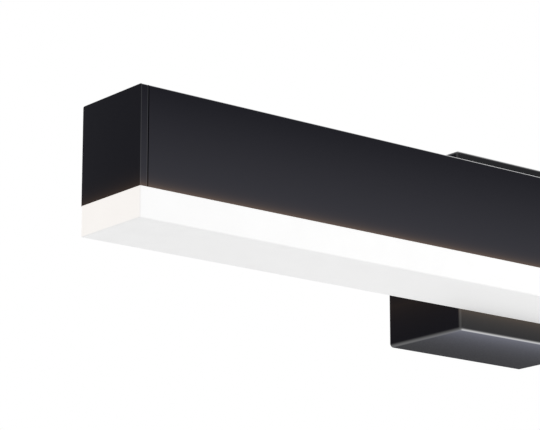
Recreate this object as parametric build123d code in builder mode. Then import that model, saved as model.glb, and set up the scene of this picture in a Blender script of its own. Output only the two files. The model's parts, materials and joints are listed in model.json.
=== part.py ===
from build123d import *

import math
import os

# Vanity light bar: an extruded bar with an opal trough below, carried off the wall by a box canopy.
# X runs along the bar, +Y into the wall and +Z up. The origin is on the wall, between the two wall slots.
# All sizes are in millimetres.

# Bar
bar_length = 711.0
bar_rise = 2.0

# Extruded housing
housing_depth = 58.0
housing_height = 60.0
housing_wall = 2.0
housing_edge_radius = 1.2
housing_corner_radius = 1.0
roof_rib_width = 1.8
roof_rib_height = 2.5
roof_rib_spacing = 24.0

# Screw channels along both inner walls of the housing
channel_rise = 17.5
channel_width = 11.0
channel_height = 5.0
groove_inset = 7.0
groove_depth = 4.0

# End caps
cap_thickness = 5.2
cap_seam = 0.35
cap_seam_radius = 1.0
cap_edge_chamfer = 0.25
spigot_length = 12.0
spigot_wall = 2.5
spigot_boss = 6.0
spigot_fit = 0.2
spigot_clearance = 2.0
cap_screw_spacing = 18.0

# Diffuser
diffuser_height = 18.5
diffuser_wall = 3.0
diffuser_edge_radius = 0.8
diffuser_rear_gap = 0.3
flange_height = 9.0
flange_root = 6.0
flange_wall = 2.0
flange_fit = 0.25
flange_end_gap = 3.0

# Spring clips
clip_thickness = 0.5
clip_width = 12.0
clip_foot = 9.0
clip_gap = 0.2
clip_kick = 1.6
clip_bend = 1.0
clip_rise = 2.5
clips_per_side = 4

# LED tray and boards
tray_thickness = 1.5
tray_side_gap = 1.0
tray_end_gap = 1.0
board_thickness = 1.6
board_width = 24.0
board_start = 8.0
board_end_gap = 4.95
board_screw_inset = 40.0
led_length = 3.5
led_width = 2.8
led_height = 0.7
led_pitch = 20.0
led_row_spacing = 16.0
led_margin = 8.0

# Board connectors
connector_length = 9.0
connector_width = 9.0
connector_height = 4.5
connector_start = 26.0
connector_pole_pitch = 4.0
connector_edge = 0.4
lead_drop = 2.0

# Grommet in the tray
grommet_hole_radius = 5.0
grommet_bore_radius = 3.0
grommet_flange_radius = 6.5
grommet_flange = 1.2
grommet_fit = 0.1

# Canopy
canopy_width = 120.0
canopy_height = 120.0
canopy_depth = 69.0
canopy_sheet = 1.2
canopy_bend = 2.5
canopy_slot_fit = 0.4

# Wall plate
plate_thickness = 1.5
plate_height = 42.0
plate_side_gap = 0.6
plate_bend = 2.0
lip_depth = 8.0
lip_end_gap = 6.0
ear_depth = 17.0
ear_height = 22.0
ear_corner_radius = 3.0
wire_hole_radius = 15.0
wall_slot_spacing = 79.4
wall_slot_length = 14.4
wall_slot_width = 4.8
ground_screw_x = 24.0
ground_screw_z = 12.5

# Canopy screws
canopy_screw_setback = 9.0
canopy_screw_length = 8.0
canopy_screw_gap = 0.1

# Hollow nipples that clamp the bar to the canopy
nipple_spacing = 60.0
nipple_z = 5.0
nipple_radius = 5.0
nipple_bore_radius = 3.9
nipple_overhang = 1.5
nipple_hole_fit = 0.2
nipple_nut_flats = 14.0
nipple_nut_thickness = 4.0
nut_chamfer = 0.4
washer_radius = 7.8
washer_thickness = 0.8
washer_teeth = 12
washer_tooth_gap = 1.6
washer_tooth_depth = 1.4
bushing_flange = 1.0
bushing_length = 5.0
bushing_wall = 0.7

# LED driver
driver_length = 80.0
driver_width = 36.0
driver_base_height = 15.0
driver_cover_height = 8.0
driver_corner_radius = 3.0
driver_edge_radius = 1.5
driver_z = -37.0
driver_ear_length = 10.0
driver_ear_width = 16.0
driver_ear_thickness = 3.0
driver_lead_rise = 9.0
driver_lead_spacing = 6.0

# Terminal block
pole_pitch = 13.0
pole_width = 8.0
pole_count = 3
terminal_height = 17.0
terminal_base = 10.0
terminal_pole_rise = 4.0
terminal_edge = 1.0
terminal_x = -8.0
terminal_z = 42.0
terminal_well_radius = 2.2
terminal_well_depth = 7.0
terminal_well_spacing = 8.5
terminal_screw_radius = 1.9
terminal_screw_height = 3.0
terminal_entry_radius = 1.6
terminal_entry_depth = 3.0

# Studs welded inside the canopy, and the earth terminal
stud_radius = 1.5
stud_overhang = 1.5
stud_nut_flats = 5.5
stud_nut_thickness = 2.4
earth_inset = 10.8
earth_z = 41.0
ring_radius = 4.2
ring_thickness = 0.8
barrel_radius = 1.7
barrel_length = 7.0
barrel_neck = 2.0

# Screws
m3_radius = 1.5
m3_head_radius = 2.75
m3_head_height = 1.8
m4_radius = 2.0
m4_head_radius = 4.0
m4_head_height = 2.6
hex_flats = 8.0
hex_flange_radius = 5.0
hex_flange = 1.2
recess_width = 0.8
recess_depth = 1.0
tray_screw_bite = 3.5
board_screw_bite = 1.5
cap_screw_length = 7.0
thread_fit = 0.05
screw_fit = 0.15

# Leads
lead_radius = 0.9
lead_gap = 1.3
lead_entry_radius = 1.2
lead_entry_depth = 3.0
side_run_gap = 2.3
side_run_spacing = 3.5
bend_share = 0.45

# Places worked out from the sizes above
rear_y = -canopy_depth
bar_y = rear_y - housing_depth / 2
inside_y = rear_y + canopy_sheet
top_z = bar_rise + housing_height / 2
roof_z = top_z - housing_wall
mouth_z = bar_rise - housing_height / 2
inner_half = housing_depth / 2 - housing_wall
housing_length = bar_length - 2 * (cap_thickness + cap_seam)
cap_inner_x = bar_length / 2 - cap_thickness
channel_z = mouth_z + channel_rise
groove_offset = inner_half - groove_inset
tray_z = channel_z - tray_thickness
tray_length = housing_length - 2 * tray_end_gap
tray_width = 2 * (inner_half - tray_side_gap)
board_z = tray_z - board_thickness
board_length = tray_length / 2 - board_start - board_end_gap
board_x = board_start + board_length / 2
diffuser_depth = housing_depth - diffuser_rear_gap
diffuser_inner_x = bar_length / 2 - diffuser_wall
diffuser_y = bar_y - diffuser_rear_gap / 2
flange_inner = inner_half - flange_fit - flange_wall
lead_z = board_z - lead_drop
lead_y = bar_y - connector_pole_pitch / 2
link_y = bar_y + connector_pole_pitch / 2

clip_spacing = tray_length / clips_per_side
clip_places = [(place + 0.5) * clip_spacing - tray_length / 2 for place in range(clips_per_side)]
clip_seats = [(x, side * groove_offset) for x in clip_places for side in (-1, 1)]
board_screw_places = [
    side * (board_x + step * (board_length / 2 - board_screw_inset))
    for side in (-1, 1)
    for step in (-1, 0, 1)
]
nipple_places = [(side * nipple_spacing / 2, nipple_z) for side in (-1, 1)]
cap_screw_x = cap_inner_x - spigot_length / 2
spigot_top = roof_z - spigot_fit
spigot_bottom = channel_z + channel_height + spigot_clearance
spigot_height = spigot_top - spigot_bottom
cap_screw_z = (spigot_top + spigot_bottom) / 2
cap_screw_heights = [cap_screw_z + side * cap_screw_spacing / 2 for side in (-1, 1)]

driver_stud_x = (driver_length + driver_ear_length) / 2
driver_lead_y = inside_y + driver_lead_rise
driver_end_x = driver_length / 2
upper_exit_z = driver_z + driver_lead_spacing / 2
lower_exit_z = driver_z - driver_lead_spacing / 2
pole_places = [terminal_x + (pole - (pole_count - 1) / 2) * pole_pitch for pole in range(pole_count)]
terminal_length = (pole_count - 1) * pole_pitch + pole_width
terminal_lead_y = inside_y + terminal_base / 2
terminal_bottom = terminal_z - terminal_height / 2
earth_x = canopy_width / 2 - canopy_sheet - earth_inset
stud_seats = [
    (-driver_stud_x, driver_z, driver_ear_thickness),
    (driver_stud_x, driver_z, driver_ear_thickness),
    (terminal_x - pole_pitch / 2, terminal_z, terminal_base),
    (terminal_x + pole_pitch / 2, terminal_z, terminal_base),
    (earth_x, earth_z, ring_thickness),
]
ear_x = canopy_width / 2 - canopy_sheet - plate_side_gap

os.makedirs("parts", exist_ok=True)


def cross_recess(top, reach):
    """The cutter of a cross recess that goes down from the given height."""
    with BuildPart() as recess:
        with BuildSketch(Plane.XY.offset(top)):
            Rectangle(reach, recess_width)
            Rectangle(recess_width, reach)
        extrude(amount=-recess_depth)
    return recess.part


def pan_head_screw(radius, length, head_radius, head_height):
    """A pan-head screw along Z, with its head standing on Z = 0 and its shank below."""
    recess = cross_recess(head_height, head_radius)
    with BuildPart() as screw:
        Cylinder(head_radius, head_height, align=(Align.CENTER, Align.CENTER, Align.MIN))
        fillet(screw.edges().sort_by(Axis.Z)[-1], head_height / 2)
        Cylinder(radius, length, align=(Align.CENTER, Align.CENTER, Align.MAX))
        add(recess, mode=Mode.SUBTRACT)
    return screw.part


def countersunk_screw(radius, length, head_radius):
    """A countersunk screw along Z, with the top of its head at Z = 0."""
    recess = cross_recess(0, head_radius)
    with BuildPart() as screw:
        with BuildSketch(Plane.XZ):
            with BuildLine():
                Polyline(
                    (0, 0),
                    (head_radius, 0),
                    (radius, radius - head_radius),
                    (radius, -length),
                    (0, -length),
                    close=True,
                )
            make_face()
        revolve(axis=Axis.Z)
        add(recess, mode=Mode.SUBTRACT)
    return screw.part


def hex_nut(flats, bore, thickness):
    """A hexagon nut standing on Z = 0, with its upper corners eased."""
    with BuildPart() as nut:
        with BuildSketch(Plane.XY):
            RegularPolygon(flats / 2, 6, major_radius=False)
            Circle(bore, mode=Mode.SUBTRACT)
        extrude(amount=thickness)
        chamfer(nut.edges().filter_by(GeomType.LINE).group_by(Axis.Z)[-1], nut_chamfer)
    return nut.part


def bend_radii(points):
    """The largest bend radius at each corner of a lead that its two runs leave room for."""
    stops = [Vector(*point) for point in points]
    radii = []
    for before, corner, after in zip(stops, stops[1:], stops[2:]):
        arriving = corner - before
        leaving = after - corner
        turn = math.radians(arriving.get_angle(leaving))
        radii.append(bend_share * min(arriving.length, leaving.length) / math.tan(turn / 2))
    return radii


def insulated_lead(name, points):
    """A round lead along straight runs joined by tangent arcs."""
    radii = bend_radii(points)
    with BuildPart() as lead:
        with BuildLine() as route:
            FilletPolyline(*points, radius=radii)
        path = route.wires()[0]
        with BuildSketch(Plane(path @ 0, z_dir=path % 0)):
            Circle(lead_radius)
        sweep(path=path)
    ideal = math.pi * lead_radius**2 * path.length
    bends = [round(radius, 1) for radius in radii]
    print(name, "bends", bends, "volume", round(lead.part.volume / ideal, 4))
    return lead.part


# Housing: an extruded channel, open below, with a screw channel along each inner wall
with BuildPart() as housing:
    with BuildSketch(Plane.YZ.offset(-housing_length / 2)) as profile:
        with Locations((bar_y, bar_rise)):
            Rectangle(housing_depth, housing_height)
        fillet(profile.vertices().group_by(Axis.Y)[-1], housing_edge_radius)
        with BuildSketch(mode=Mode.SUBTRACT) as hollow:
            with Locations((bar_y, mouth_z)):
                Rectangle(2 * inner_half, roof_z - mouth_z, align=(Align.CENTER, Align.MIN))
            fillet(hollow.vertices().group_by(Axis.Y)[-1], housing_corner_radius)
        for side in (-1, 1):
            with Locations((bar_y + side * (inner_half - channel_width / 2), channel_z)):
                Rectangle(channel_width, channel_height, align=(Align.CENTER, Align.MIN))
            with Locations((bar_y + side * groove_offset, channel_z)):
                Rectangle(
                    2 * (m3_radius + thread_fit),
                    groove_depth,
                    align=(Align.CENTER, Align.MIN),
                    mode=Mode.SUBTRACT,
                )
            with Locations((bar_y + side * roof_rib_spacing / 2, roof_z)):
                Rectangle(roof_rib_width, roof_rib_height, align=(Align.CENTER, Align.MAX))
    extrude(amount=housing_length)
    with BuildSketch(Plane.XZ.offset(-rear_y)):
        with Locations(*nipple_places):
            Circle(nipple_radius + nipple_hole_fit)
    extrude(amount=housing_wall, mode=Mode.SUBTRACT)
    with Locations(
        *[
            Plane((side * cap_screw_x, rear_y, height), x_dir=(1, 0, 0), z_dir=(0, 1, 0))
            for side in (-1, 1)
            for height in cap_screw_heights
        ]
    ):
        CounterSinkHole(
            m3_radius + screw_fit,
            m3_head_radius + screw_fit,
            depth=housing_wall,
            counter_sink_angle=90,
        )
housing.part.label = "housing"
export_step(housing.part, "parts/housing.step")

# End caps: flush plates, each with a spigot that slips into the housing and is screwed from behind
for side, cap_name in ((-1, "left_end_cap"), (1, "right_end_cap")):
    with BuildPart() as end_cap:
        with BuildSketch(Plane.YZ.offset(side * cap_inner_x)) as outline:
            with Locations((bar_y, bar_rise)):
                Rectangle(housing_depth, housing_height)
            fillet(outline.vertices().group_by(Axis.Y)[-1], housing_edge_radius)
        extrude(amount=side * cap_thickness)
        seam_edges = end_cap.faces().sort_by(Axis.X)[0 if side > 0 else -1].edges().sort_by(Axis.Z)[1:]
        fillet(seam_edges, cap_seam_radius)
        rim_edges = end_cap.faces().sort_by(Axis.X)[-1 if side > 0 else 0].edges().sort_by(Axis.Z)[1:]
        chamfer(rim_edges, cap_edge_chamfer)
        with BuildSketch(Plane.YZ.offset(side * cap_inner_x)):
            with Locations((bar_y, spigot_bottom)):
                Rectangle(2 * (inner_half - spigot_fit), spigot_height, align=(Align.CENTER, Align.MIN))
            with Locations((bar_y - (spigot_boss - spigot_wall) / 2, spigot_bottom)):
                Rectangle(
                    2 * (inner_half - spigot_fit) - spigot_boss - spigot_wall,
                    spigot_height - spigot_wall - roof_rib_height,
                    align=(Align.CENTER, Align.MIN),
                    mode=Mode.SUBTRACT,
                )
            for rib_side in (-1, 1):
                with Locations((bar_y + rib_side * roof_rib_spacing / 2, spigot_top)):
                    Rectangle(
                        roof_rib_width + 2 * spigot_fit,
                        roof_rib_height,
                        align=(Align.CENTER, Align.MAX),
                        mode=Mode.SUBTRACT,
                    )
        extrude(amount=-side * spigot_length)
        spigot_corners = (
            end_cap.edges()
            .filter_by(Axis.X)
            .filter_by(lambda edge: abs(edge.length - spigot_length) < thread_fit)
            .group_by(Axis.Z)[-1]
        )
        corner_edges = ShapeList([spigot_corners.sort_by(Axis.Y)[0], spigot_corners.sort_by(Axis.Y)[-1]])
        fillet(corner_edges, housing_corner_radius)
        with BuildSketch(Plane.XZ.offset(-(bar_y + inner_half - spigot_fit))):
            with Locations(*[(side * cap_screw_x, height) for height in cap_screw_heights]):
                Circle(m3_radius + thread_fit)
        extrude(amount=spigot_boss, mode=Mode.SUBTRACT)
    end_cap.part.label = cap_name
    export_step(end_cap.part, f"parts/{cap_name}.step")

cap_screw = countersunk_screw(m3_radius, cap_screw_length, m3_head_radius)
with BuildPart() as end_cap_screws:
    with Locations(
        *[
            Plane((side * cap_screw_x, rear_y, height), x_dir=(1, 0, 0), z_dir=(0, 1, 0))
            for side in (-1, 1)
            for height in cap_screw_heights
        ]
    ):
        add(cap_screw)
end_cap_screws.part.label = "end_cap_screws"
export_step(end_cap_screws.part, "parts/end_cap_screws.step")

# Diffuser: an opal channel with a flange inside each long wall of the housing, closed by two bonded plates
with BuildPart() as diffuser_block:
    with BuildSketch(Plane.XY.offset(mouth_z)):
        with Locations((0, diffuser_y)):
            Rectangle(bar_length, diffuser_depth)
    extrude(amount=-diffuser_height)
    fillet(diffuser_block.edges().filter_by(Axis.Z), diffuser_edge_radius)
    fillet(diffuser_block.faces().sort_by(Axis.Z)[0].edges(), diffuser_edge_radius)

with BuildPart() as diffuser:
    add(diffuser_block.part)
    split(bisect_by=Plane.YZ.offset(diffuser_inner_x), keep=Keep.BOTTOM)
    split(bisect_by=Plane.YZ.offset(-diffuser_inner_x), keep=Keep.TOP)
    with BuildSketch(Plane.XY.offset(mouth_z)):
        with Locations((0, diffuser_y)):
            Rectangle(bar_length, diffuser_depth - 2 * diffuser_wall)
    extrude(amount=diffuser_wall - diffuser_height, mode=Mode.SUBTRACT)
    with BuildSketch(Plane.XY.offset(mouth_z - flange_root)):
        for side in (-1, 1):
            with Locations((0, bar_y + side * (flange_inner + flange_wall / 2))):
                Rectangle(housing_length - 2 * flange_end_gap, flange_wall)
    extrude(amount=flange_root + flange_height)
diffuser.part.label = "diffuser"
export_step(diffuser.part, "parts/diffuser.step")

with BuildPart() as diffuser_end_plates:
    add(diffuser_block.part)
    with BuildSketch(Plane.XY.offset(mouth_z)):
        with Locations((0, diffuser_y)):
            Rectangle(2 * diffuser_inner_x, diffuser_depth)
    extrude(amount=-diffuser_height, mode=Mode.SUBTRACT)
diffuser_end_plates.part.label = "diffuser_end_plates"
export_step(diffuser_end_plates.part, "parts/diffuser_end_plates.step")

# LED tray: an aluminium strip under the screw channels
with BuildPart() as led_tray:
    with BuildSketch(Plane.XY.offset(tray_z)):
        with Locations((0, bar_y)):
            Rectangle(tray_length, tray_width)
        with Locations(*[(x, bar_y + offset) for x, offset in clip_seats]):
            Circle(m3_radius + screw_fit, mode=Mode.SUBTRACT)
        with Locations(*[(x, bar_y) for x in board_screw_places]):
            Circle(m3_radius + thread_fit, mode=Mode.SUBTRACT)
        with Locations((0, lead_y)):
            Circle(grommet_hole_radius, mode=Mode.SUBTRACT)
    extrude(amount=tray_thickness)
led_tray.part.label = "led_tray"
export_step(led_tray.part, "parts/led_tray.step")

# Grommet: a rubber ring that lines the lead hole of the tray
with BuildPart() as tray_grommet:
    with BuildSketch(Plane.XZ.offset(-lead_y)):
        with BuildLine():
            Polyline(
                (grommet_bore_radius, tray_z - grommet_flange),
                (grommet_flange_radius, tray_z - grommet_flange),
                (grommet_flange_radius, tray_z),
                (grommet_hole_radius - grommet_fit, tray_z),
                (grommet_hole_radius - grommet_fit, channel_z),
                (grommet_flange_radius, channel_z),
                (grommet_flange_radius, channel_z + grommet_flange),
                (grommet_bore_radius, channel_z + grommet_flange),
                close=True,
            )
        make_face()
    revolve(axis=Axis((0, lead_y, 0), (0, 0, 1)))
    fillet(tray_grommet.edges().group_by(Axis.Z)[-1].sort_by(SortBy.RADIUS)[-1], grommet_flange / 2)
    fillet(tray_grommet.edges().group_by(Axis.Z)[0].sort_by(SortBy.RADIUS)[-1], grommet_flange / 2)
tray_grommet.part.label = "tray_grommet"
export_step(tray_grommet.part, "parts/tray_grommet.step")

# Spring clips: bent leaves under the tray that press the diffuser's flanges outwards
clip_outer = flange_inner - clip_gap
clip_end = mouth_z + clip_rise
with BuildPart() as diffuser_clips:
    for x in clip_places:
        for side in (-1, 1):
            with BuildSketch(Plane.YZ.offset(x - clip_width / 2)):
                with BuildLine():
                    leaf = [
                        (groove_offset - clip_foot / 2, tray_z),
                        (clip_outer, tray_z),
                        (clip_outer, clip_end + clip_kick),
                        (clip_outer - clip_kick, clip_end),
                        (clip_outer - clip_kick - clip_thickness, clip_end),
                        (clip_outer - clip_thickness, clip_end + clip_kick),
                        (clip_outer - clip_thickness, tray_z - clip_thickness),
                        (groove_offset - clip_foot / 2, tray_z - clip_thickness),
                    ]
                    bends = [0, clip_bend + clip_thickness, clip_bend, 0, 0, clip_bend, clip_bend, 0]
                    FilletPolyline(
                        *[(bar_y + side * offset, height) for offset, height in leaf],
                        radius=bends,
                        close=True,
                    )
                make_face()
            extrude(amount=clip_width)
    with BuildSketch(Plane.XY.offset(tray_z)):
        with Locations(*[(x, bar_y + offset) for x, offset in clip_seats]):
            Circle(m3_radius + screw_fit)
    extrude(amount=-clip_thickness, mode=Mode.SUBTRACT)
diffuser_clips.part.label = "diffuser_clips"
export_step(diffuser_clips.part, "parts/diffuser_clips.step")

tray_screw = pan_head_screw(
    m3_radius, clip_thickness + tray_thickness + tray_screw_bite, m3_head_radius, m3_head_height
)
with BuildPart() as tray_screws:
    with Locations(
        *[
            Plane((x, bar_y + offset, tray_z - clip_thickness), x_dir=(1, 0, 0), z_dir=(0, 0, -1))
            for x, offset in clip_seats
        ]
    ):
        add(tray_screw)
tray_screws.part.label = "tray_screws"
export_step(tray_screws.part, "parts/tray_screws.step")

# LED boards, one each side of the grommet
led_count = int((board_length - 2 * led_margin) // led_pitch) + 1
for side, board_name in ((-1, "left_led_board"), (1, "right_led_board")):
    with BuildPart() as led_board:
        with BuildSketch(Plane.XY.offset(board_z)):
            with Locations((side * board_x, bar_y)):
                Rectangle(board_length, board_width)
            with Locations(*[(x, bar_y) for x in board_screw_places if x * side > 0]):
                Circle(m3_radius + screw_fit, mode=Mode.SUBTRACT)
        extrude(amount=board_thickness)
    led_board.part.label = board_name
    export_step(led_board.part, f"parts/{board_name}.step")

with BuildPart() as led_packages:
    with BuildSketch(Plane.XY.offset(board_z)):
        for side in (-1, 1):
            with Locations((side * board_x, bar_y)):
                with GridLocations(led_pitch, led_row_spacing, led_count, 2):
                    Rectangle(led_length, led_width)
    extrude(amount=-led_height)
led_packages.part.label = "led_packages"
export_step(led_packages.part, "parts/led_packages.step")

board_screw = pan_head_screw(
    m3_radius, board_thickness + tray_thickness + board_screw_bite, m3_head_radius, m3_head_height
)
with BuildPart() as board_screws:
    with Locations(
        *[Plane((x, bar_y, board_z), x_dir=(1, 0, 0), z_dir=(0, 0, -1)) for x in board_screw_places]
    ):
        add(board_screw)
board_screws.part.label = "board_screws"
export_step(board_screws.part, "parts/board_screws.step")

# Board connectors, each with an entry for its lead and one for the link between the boards
with BuildPart() as board_connectors:
    with BuildSketch(Plane.XY.offset(board_z)):
        for side in (-1, 1):
            with Locations((side * (connector_start + connector_length / 2), bar_y)):
                Rectangle(connector_length, connector_width)
    extrude(amount=-connector_height)
    chamfer(board_connectors.faces().group_by(Axis.Z)[0].edges(), connector_edge)
    for side in (-1, 1):
        with BuildSketch(Plane.YZ.offset(side * connector_start)):
            with Locations((lead_y, lead_z), (link_y, lead_z)):
                Circle(lead_entry_radius)
        extrude(amount=side * lead_entry_depth, mode=Mode.SUBTRACT)
board_connectors.part.label = "board_connectors"
export_step(board_connectors.part, "parts/board_connectors.step")

# Canopy: a folded box, open at the wall, with a slot in each side for the canopy screws
with BuildPart() as canopy:
    with BuildSketch(Plane.XZ):
        RectangleRounded(canopy_width, canopy_height, canopy_bend)
    extrude(amount=canopy_depth)
    fillet(canopy.faces().sort_by(Axis.Y)[0].edges(), canopy_bend)
    offset(amount=-canopy_sheet, openings=canopy.faces().sort_by(Axis.Y)[-1])
    with BuildSketch(Plane.XZ.offset(-rear_y)):
        with Locations(*nipple_places):
            Circle(nipple_radius + nipple_hole_fit)
    extrude(amount=-canopy_sheet, mode=Mode.SUBTRACT)
    slot_half = m4_radius + canopy_slot_fit
    with BuildSketch(Plane.YZ):
        with Locations((-canopy_screw_setback, 0)):
            Circle(slot_half)
            Rectangle(canopy_screw_setback, 2 * slot_half, align=(Align.MIN, Align.CENTER))
    extrude(amount=canopy_width / 2, both=True, mode=Mode.SUBTRACT)
canopy.part.label = "canopy"
export_step(canopy.part, "parts/canopy.step")

# Wall plate: a folded strap with stiffening lips and an ear at each end for the canopy screws
fold_radius = plate_bend + plate_thickness
with BuildPart() as wall_plate:
    with BuildSketch(Plane.XZ):
        Rectangle(2 * (ear_x - lip_end_gap), plate_height)
        Rectangle(2 * ear_x, ear_height)
    extrude(amount=plate_thickness)
    with BuildSketch(Plane.XZ):
        for side in (-1, 1):
            with Locations((0, side * (plate_height - plate_thickness) / 2)):
                Rectangle(2 * (ear_x - lip_end_gap), plate_thickness)
    extrude(amount=lip_depth)
    with BuildSketch(Plane.XZ):
        for side in (-1, 1):
            with Locations((side * (ear_x - plate_thickness / 2), 0)):
                Rectangle(plate_thickness, ear_height)
    extrude(amount=ear_depth)
    ear_folds = wall_plate.edges().filter_by(Axis.Z).filter_by_position(Axis.Y, 0, 0)
    fillet(ear_folds.group_by(Axis.X)[0] + ear_folds.group_by(Axis.X)[-1], fold_radius)
    lip_folds = wall_plate.edges().filter_by(Axis.X).filter_by_position(Axis.Y, 0, 0)
    fillet(lip_folds.group_by(Axis.Z)[0] + lip_folds.group_by(Axis.Z)[-1], fold_radius)
    front_y = -plate_thickness
    ear_roots = wall_plate.edges().filter_by(Axis.Z).filter_by_position(Axis.Y, front_y, front_y)
    fillet(ear_roots.group_by(Axis.X)[0] + ear_roots.group_by(Axis.X)[-1], plate_bend)
    lip_roots = wall_plate.edges().filter_by(Axis.X).filter_by_position(Axis.Y, front_y, front_y)
    fillet(lip_roots.group_by(Axis.Z)[0] + lip_roots.group_by(Axis.Z)[-1], plate_bend)
    with BuildSketch(Plane.XZ):
        Circle(wire_hole_radius)
        with GridLocations(wall_slot_spacing, 0, 2, 1):
            SlotOverall(wall_slot_length, wall_slot_width)
        with Locations((ground_screw_x, ground_screw_z)):
            Circle(m4_radius + thread_fit)
    extrude(amount=plate_thickness, mode=Mode.SUBTRACT)
    with BuildSketch(Plane.YZ):
        with Locations((-canopy_screw_setback, 0)):
            Circle(m4_radius + thread_fit)
    extrude(amount=ear_x, both=True, mode=Mode.SUBTRACT)
    ear_corners = (
        wall_plate.edges()
        .filter_by(Axis.X)
        .filter_by(lambda edge: edge.length < 2 * plate_thickness)
        .group_by(Axis.Y)[0]
    )
    fillet(ear_corners, ear_corner_radius)
wall_plate.part.label = "wall_plate"
export_step(wall_plate.part, "parts/wall_plate.step")

# Ground screw: a slotted hexagon head with a flange, its end flush with the back of the plate
with BuildPart() as ground_screw:
    with BuildSketch(Plane.XZ.offset(plate_thickness)):
        with Locations((ground_screw_x, ground_screw_z)):
            Circle(hex_flange_radius)
    extrude(amount=hex_flange)
    with BuildSketch(Plane.XZ.offset(plate_thickness + hex_flange)):
        with Locations((ground_screw_x, ground_screw_z)):
            RegularPolygon(hex_flats / 2, 6, major_radius=False)
    extrude(amount=m4_head_height)
    with BuildSketch(Plane.XZ.offset(plate_thickness + hex_flange + m4_head_height)):
        with Locations((ground_screw_x, ground_screw_z)):
            Rectangle(2 * hex_flats, recess_width)
    extrude(amount=-recess_depth, mode=Mode.SUBTRACT)
    with BuildSketch(Plane.XZ.offset(plate_thickness)):
        with Locations((ground_screw_x, ground_screw_z)):
            Circle(m4_radius)
    extrude(amount=-plate_thickness)
ground_screw.part.label = "ground_screw"
export_step(ground_screw.part, "parts/ground_screw.step")

canopy_screw = pan_head_screw(m4_radius, canopy_screw_length, m4_head_radius, m4_head_height)
with BuildPart() as canopy_screws:
    with Locations(
        *[
            Plane(
                (side * (canopy_width / 2 + canopy_screw_gap), -canopy_screw_setback, 0),
                x_dir=(0, 1, 0),
                z_dir=(side, 0, 0),
            )
            for side in (-1, 1)
        ]
    ):
        add(canopy_screw)
canopy_screws.part.label = "canopy_screws"
export_step(canopy_screws.part, "parts/canopy_screws.step")

# Nipples through the canopy and the housing, with a toothed washer and a nut on each side
clamp_stack = washer_thickness + nipple_nut_thickness + nipple_overhang
with BuildPart() as threaded_nipples:
    with BuildSketch(Plane.XZ.offset(-(inside_y + clamp_stack))):
        with Locations(*nipple_places):
            Circle(nipple_radius)
            Circle(nipple_bore_radius, mode=Mode.SUBTRACT)
    extrude(amount=canopy_sheet + housing_wall + 2 * clamp_stack)
threaded_nipples.part.label = "threaded_nipples"
export_step(threaded_nipples.part, "parts/threaded_nipples.step")

with BuildPart() as lock_washers:
    with BuildSketch(Plane.XZ.offset(-inside_y), Plane.XZ.offset(housing_wall + washer_thickness - rear_y)):
        with Locations(*nipple_places):
            Circle(washer_radius)
            Circle(nipple_radius + nipple_hole_fit, mode=Mode.SUBTRACT)
            with PolarLocations(washer_radius, washer_teeth):
                Rectangle(2 * washer_tooth_depth, washer_tooth_gap, mode=Mode.SUBTRACT)
    extrude(amount=-washer_thickness)
lock_washers.part.label = "lock_washers"
export_step(lock_washers.part, "parts/lock_washers.step")

nipple_nut = hex_nut(nipple_nut_flats, nipple_radius + thread_fit, nipple_nut_thickness)
canopy_nut_y = inside_y + washer_thickness
housing_nut_y = rear_y - housing_wall - washer_thickness
with BuildPart() as nipple_nuts:
    with Locations(
        *[
            Plane((x, y, z), x_dir=(1, 0, 0), z_dir=(0, facing, 0))
            for x, z in nipple_places
            for y, facing in ((canopy_nut_y, 1), (housing_nut_y, -1))
        ]
    ):
        add(nipple_nut)
nipple_nuts.part.label = "nipple_nuts"
export_step(nipple_nuts.part, "parts/nipple_nuts.step")

# Bushings that line both ends of the right nipple, which passes the LED leads
with BuildPart() as nipple_bushing:
    with BuildSketch(Plane.XY):
        Circle(nipple_radius)
    extrude(amount=bushing_flange)
    fillet(nipple_bushing.edges().sort_by(Axis.Z)[-1], bushing_flange / 2)
    with BuildSketch(Plane.XY):
        Circle(nipple_bore_radius - thread_fit)
    extrude(amount=-bushing_length)
    with BuildSketch(Plane.XY.offset(bushing_flange)):
        Circle(nipple_bore_radius - thread_fit - bushing_wall)
    extrude(amount=-bushing_flange - bushing_length, mode=Mode.SUBTRACT)
with BuildPart() as nipple_bushings:
    with Locations(
        *[
            Plane((nipple_spacing / 2, y, nipple_z), x_dir=(1, 0, 0), z_dir=(0, facing, 0))
            for y, facing in ((inside_y + clamp_stack, 1), (rear_y - housing_wall - clamp_stack, -1))
        ]
    ):
        add(nipple_bushing.part)
nipple_bushings.part.label = "nipple_bushings"
export_step(nipple_bushings.part, "parts/nipple_bushings.step")

# LED driver: a case with two lead entries at each end and two ears on the canopy's studs, and its cover
with BuildPart() as driver_case:
    with BuildSketch(Plane.XZ.offset(-inside_y)):
        with Locations((0, driver_z)):
            RectangleRounded(driver_length, driver_width, driver_corner_radius)
    extrude(amount=-driver_base_height)
    with BuildSketch(Plane.XZ.offset(-inside_y)):
        with Locations((0, driver_z)):
            SlotOverall(driver_length + 2 * driver_ear_length, driver_ear_width)
        with Locations((-driver_stud_x, driver_z), (driver_stud_x, driver_z)):
            Circle(stud_radius + screw_fit, mode=Mode.SUBTRACT)
    extrude(amount=-driver_ear_thickness)
    for side in (-1, 1):
        with BuildSketch(Plane.YZ.offset(side * driver_end_x)):
            with Locations((driver_lead_y, upper_exit_z), (driver_lead_y, lower_exit_z)):
                Circle(lead_entry_radius)
        extrude(amount=-side * lead_entry_depth, mode=Mode.SUBTRACT)
driver_case.part.label = "driver_case"
export_step(driver_case.part, "parts/driver_case.step")

with BuildPart() as driver_cover:
    with BuildSketch(Plane.XZ.offset(-(inside_y + driver_base_height))):
        with Locations((0, driver_z)):
            RectangleRounded(driver_length, driver_width, driver_corner_radius)
    extrude(amount=-driver_cover_height)
    fillet(driver_cover.faces().sort_by(Axis.Y)[-1].edges(), driver_edge_radius)
driver_cover.part.label = "driver_cover"
export_step(driver_cover.part, "parts/driver_cover.step")

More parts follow.
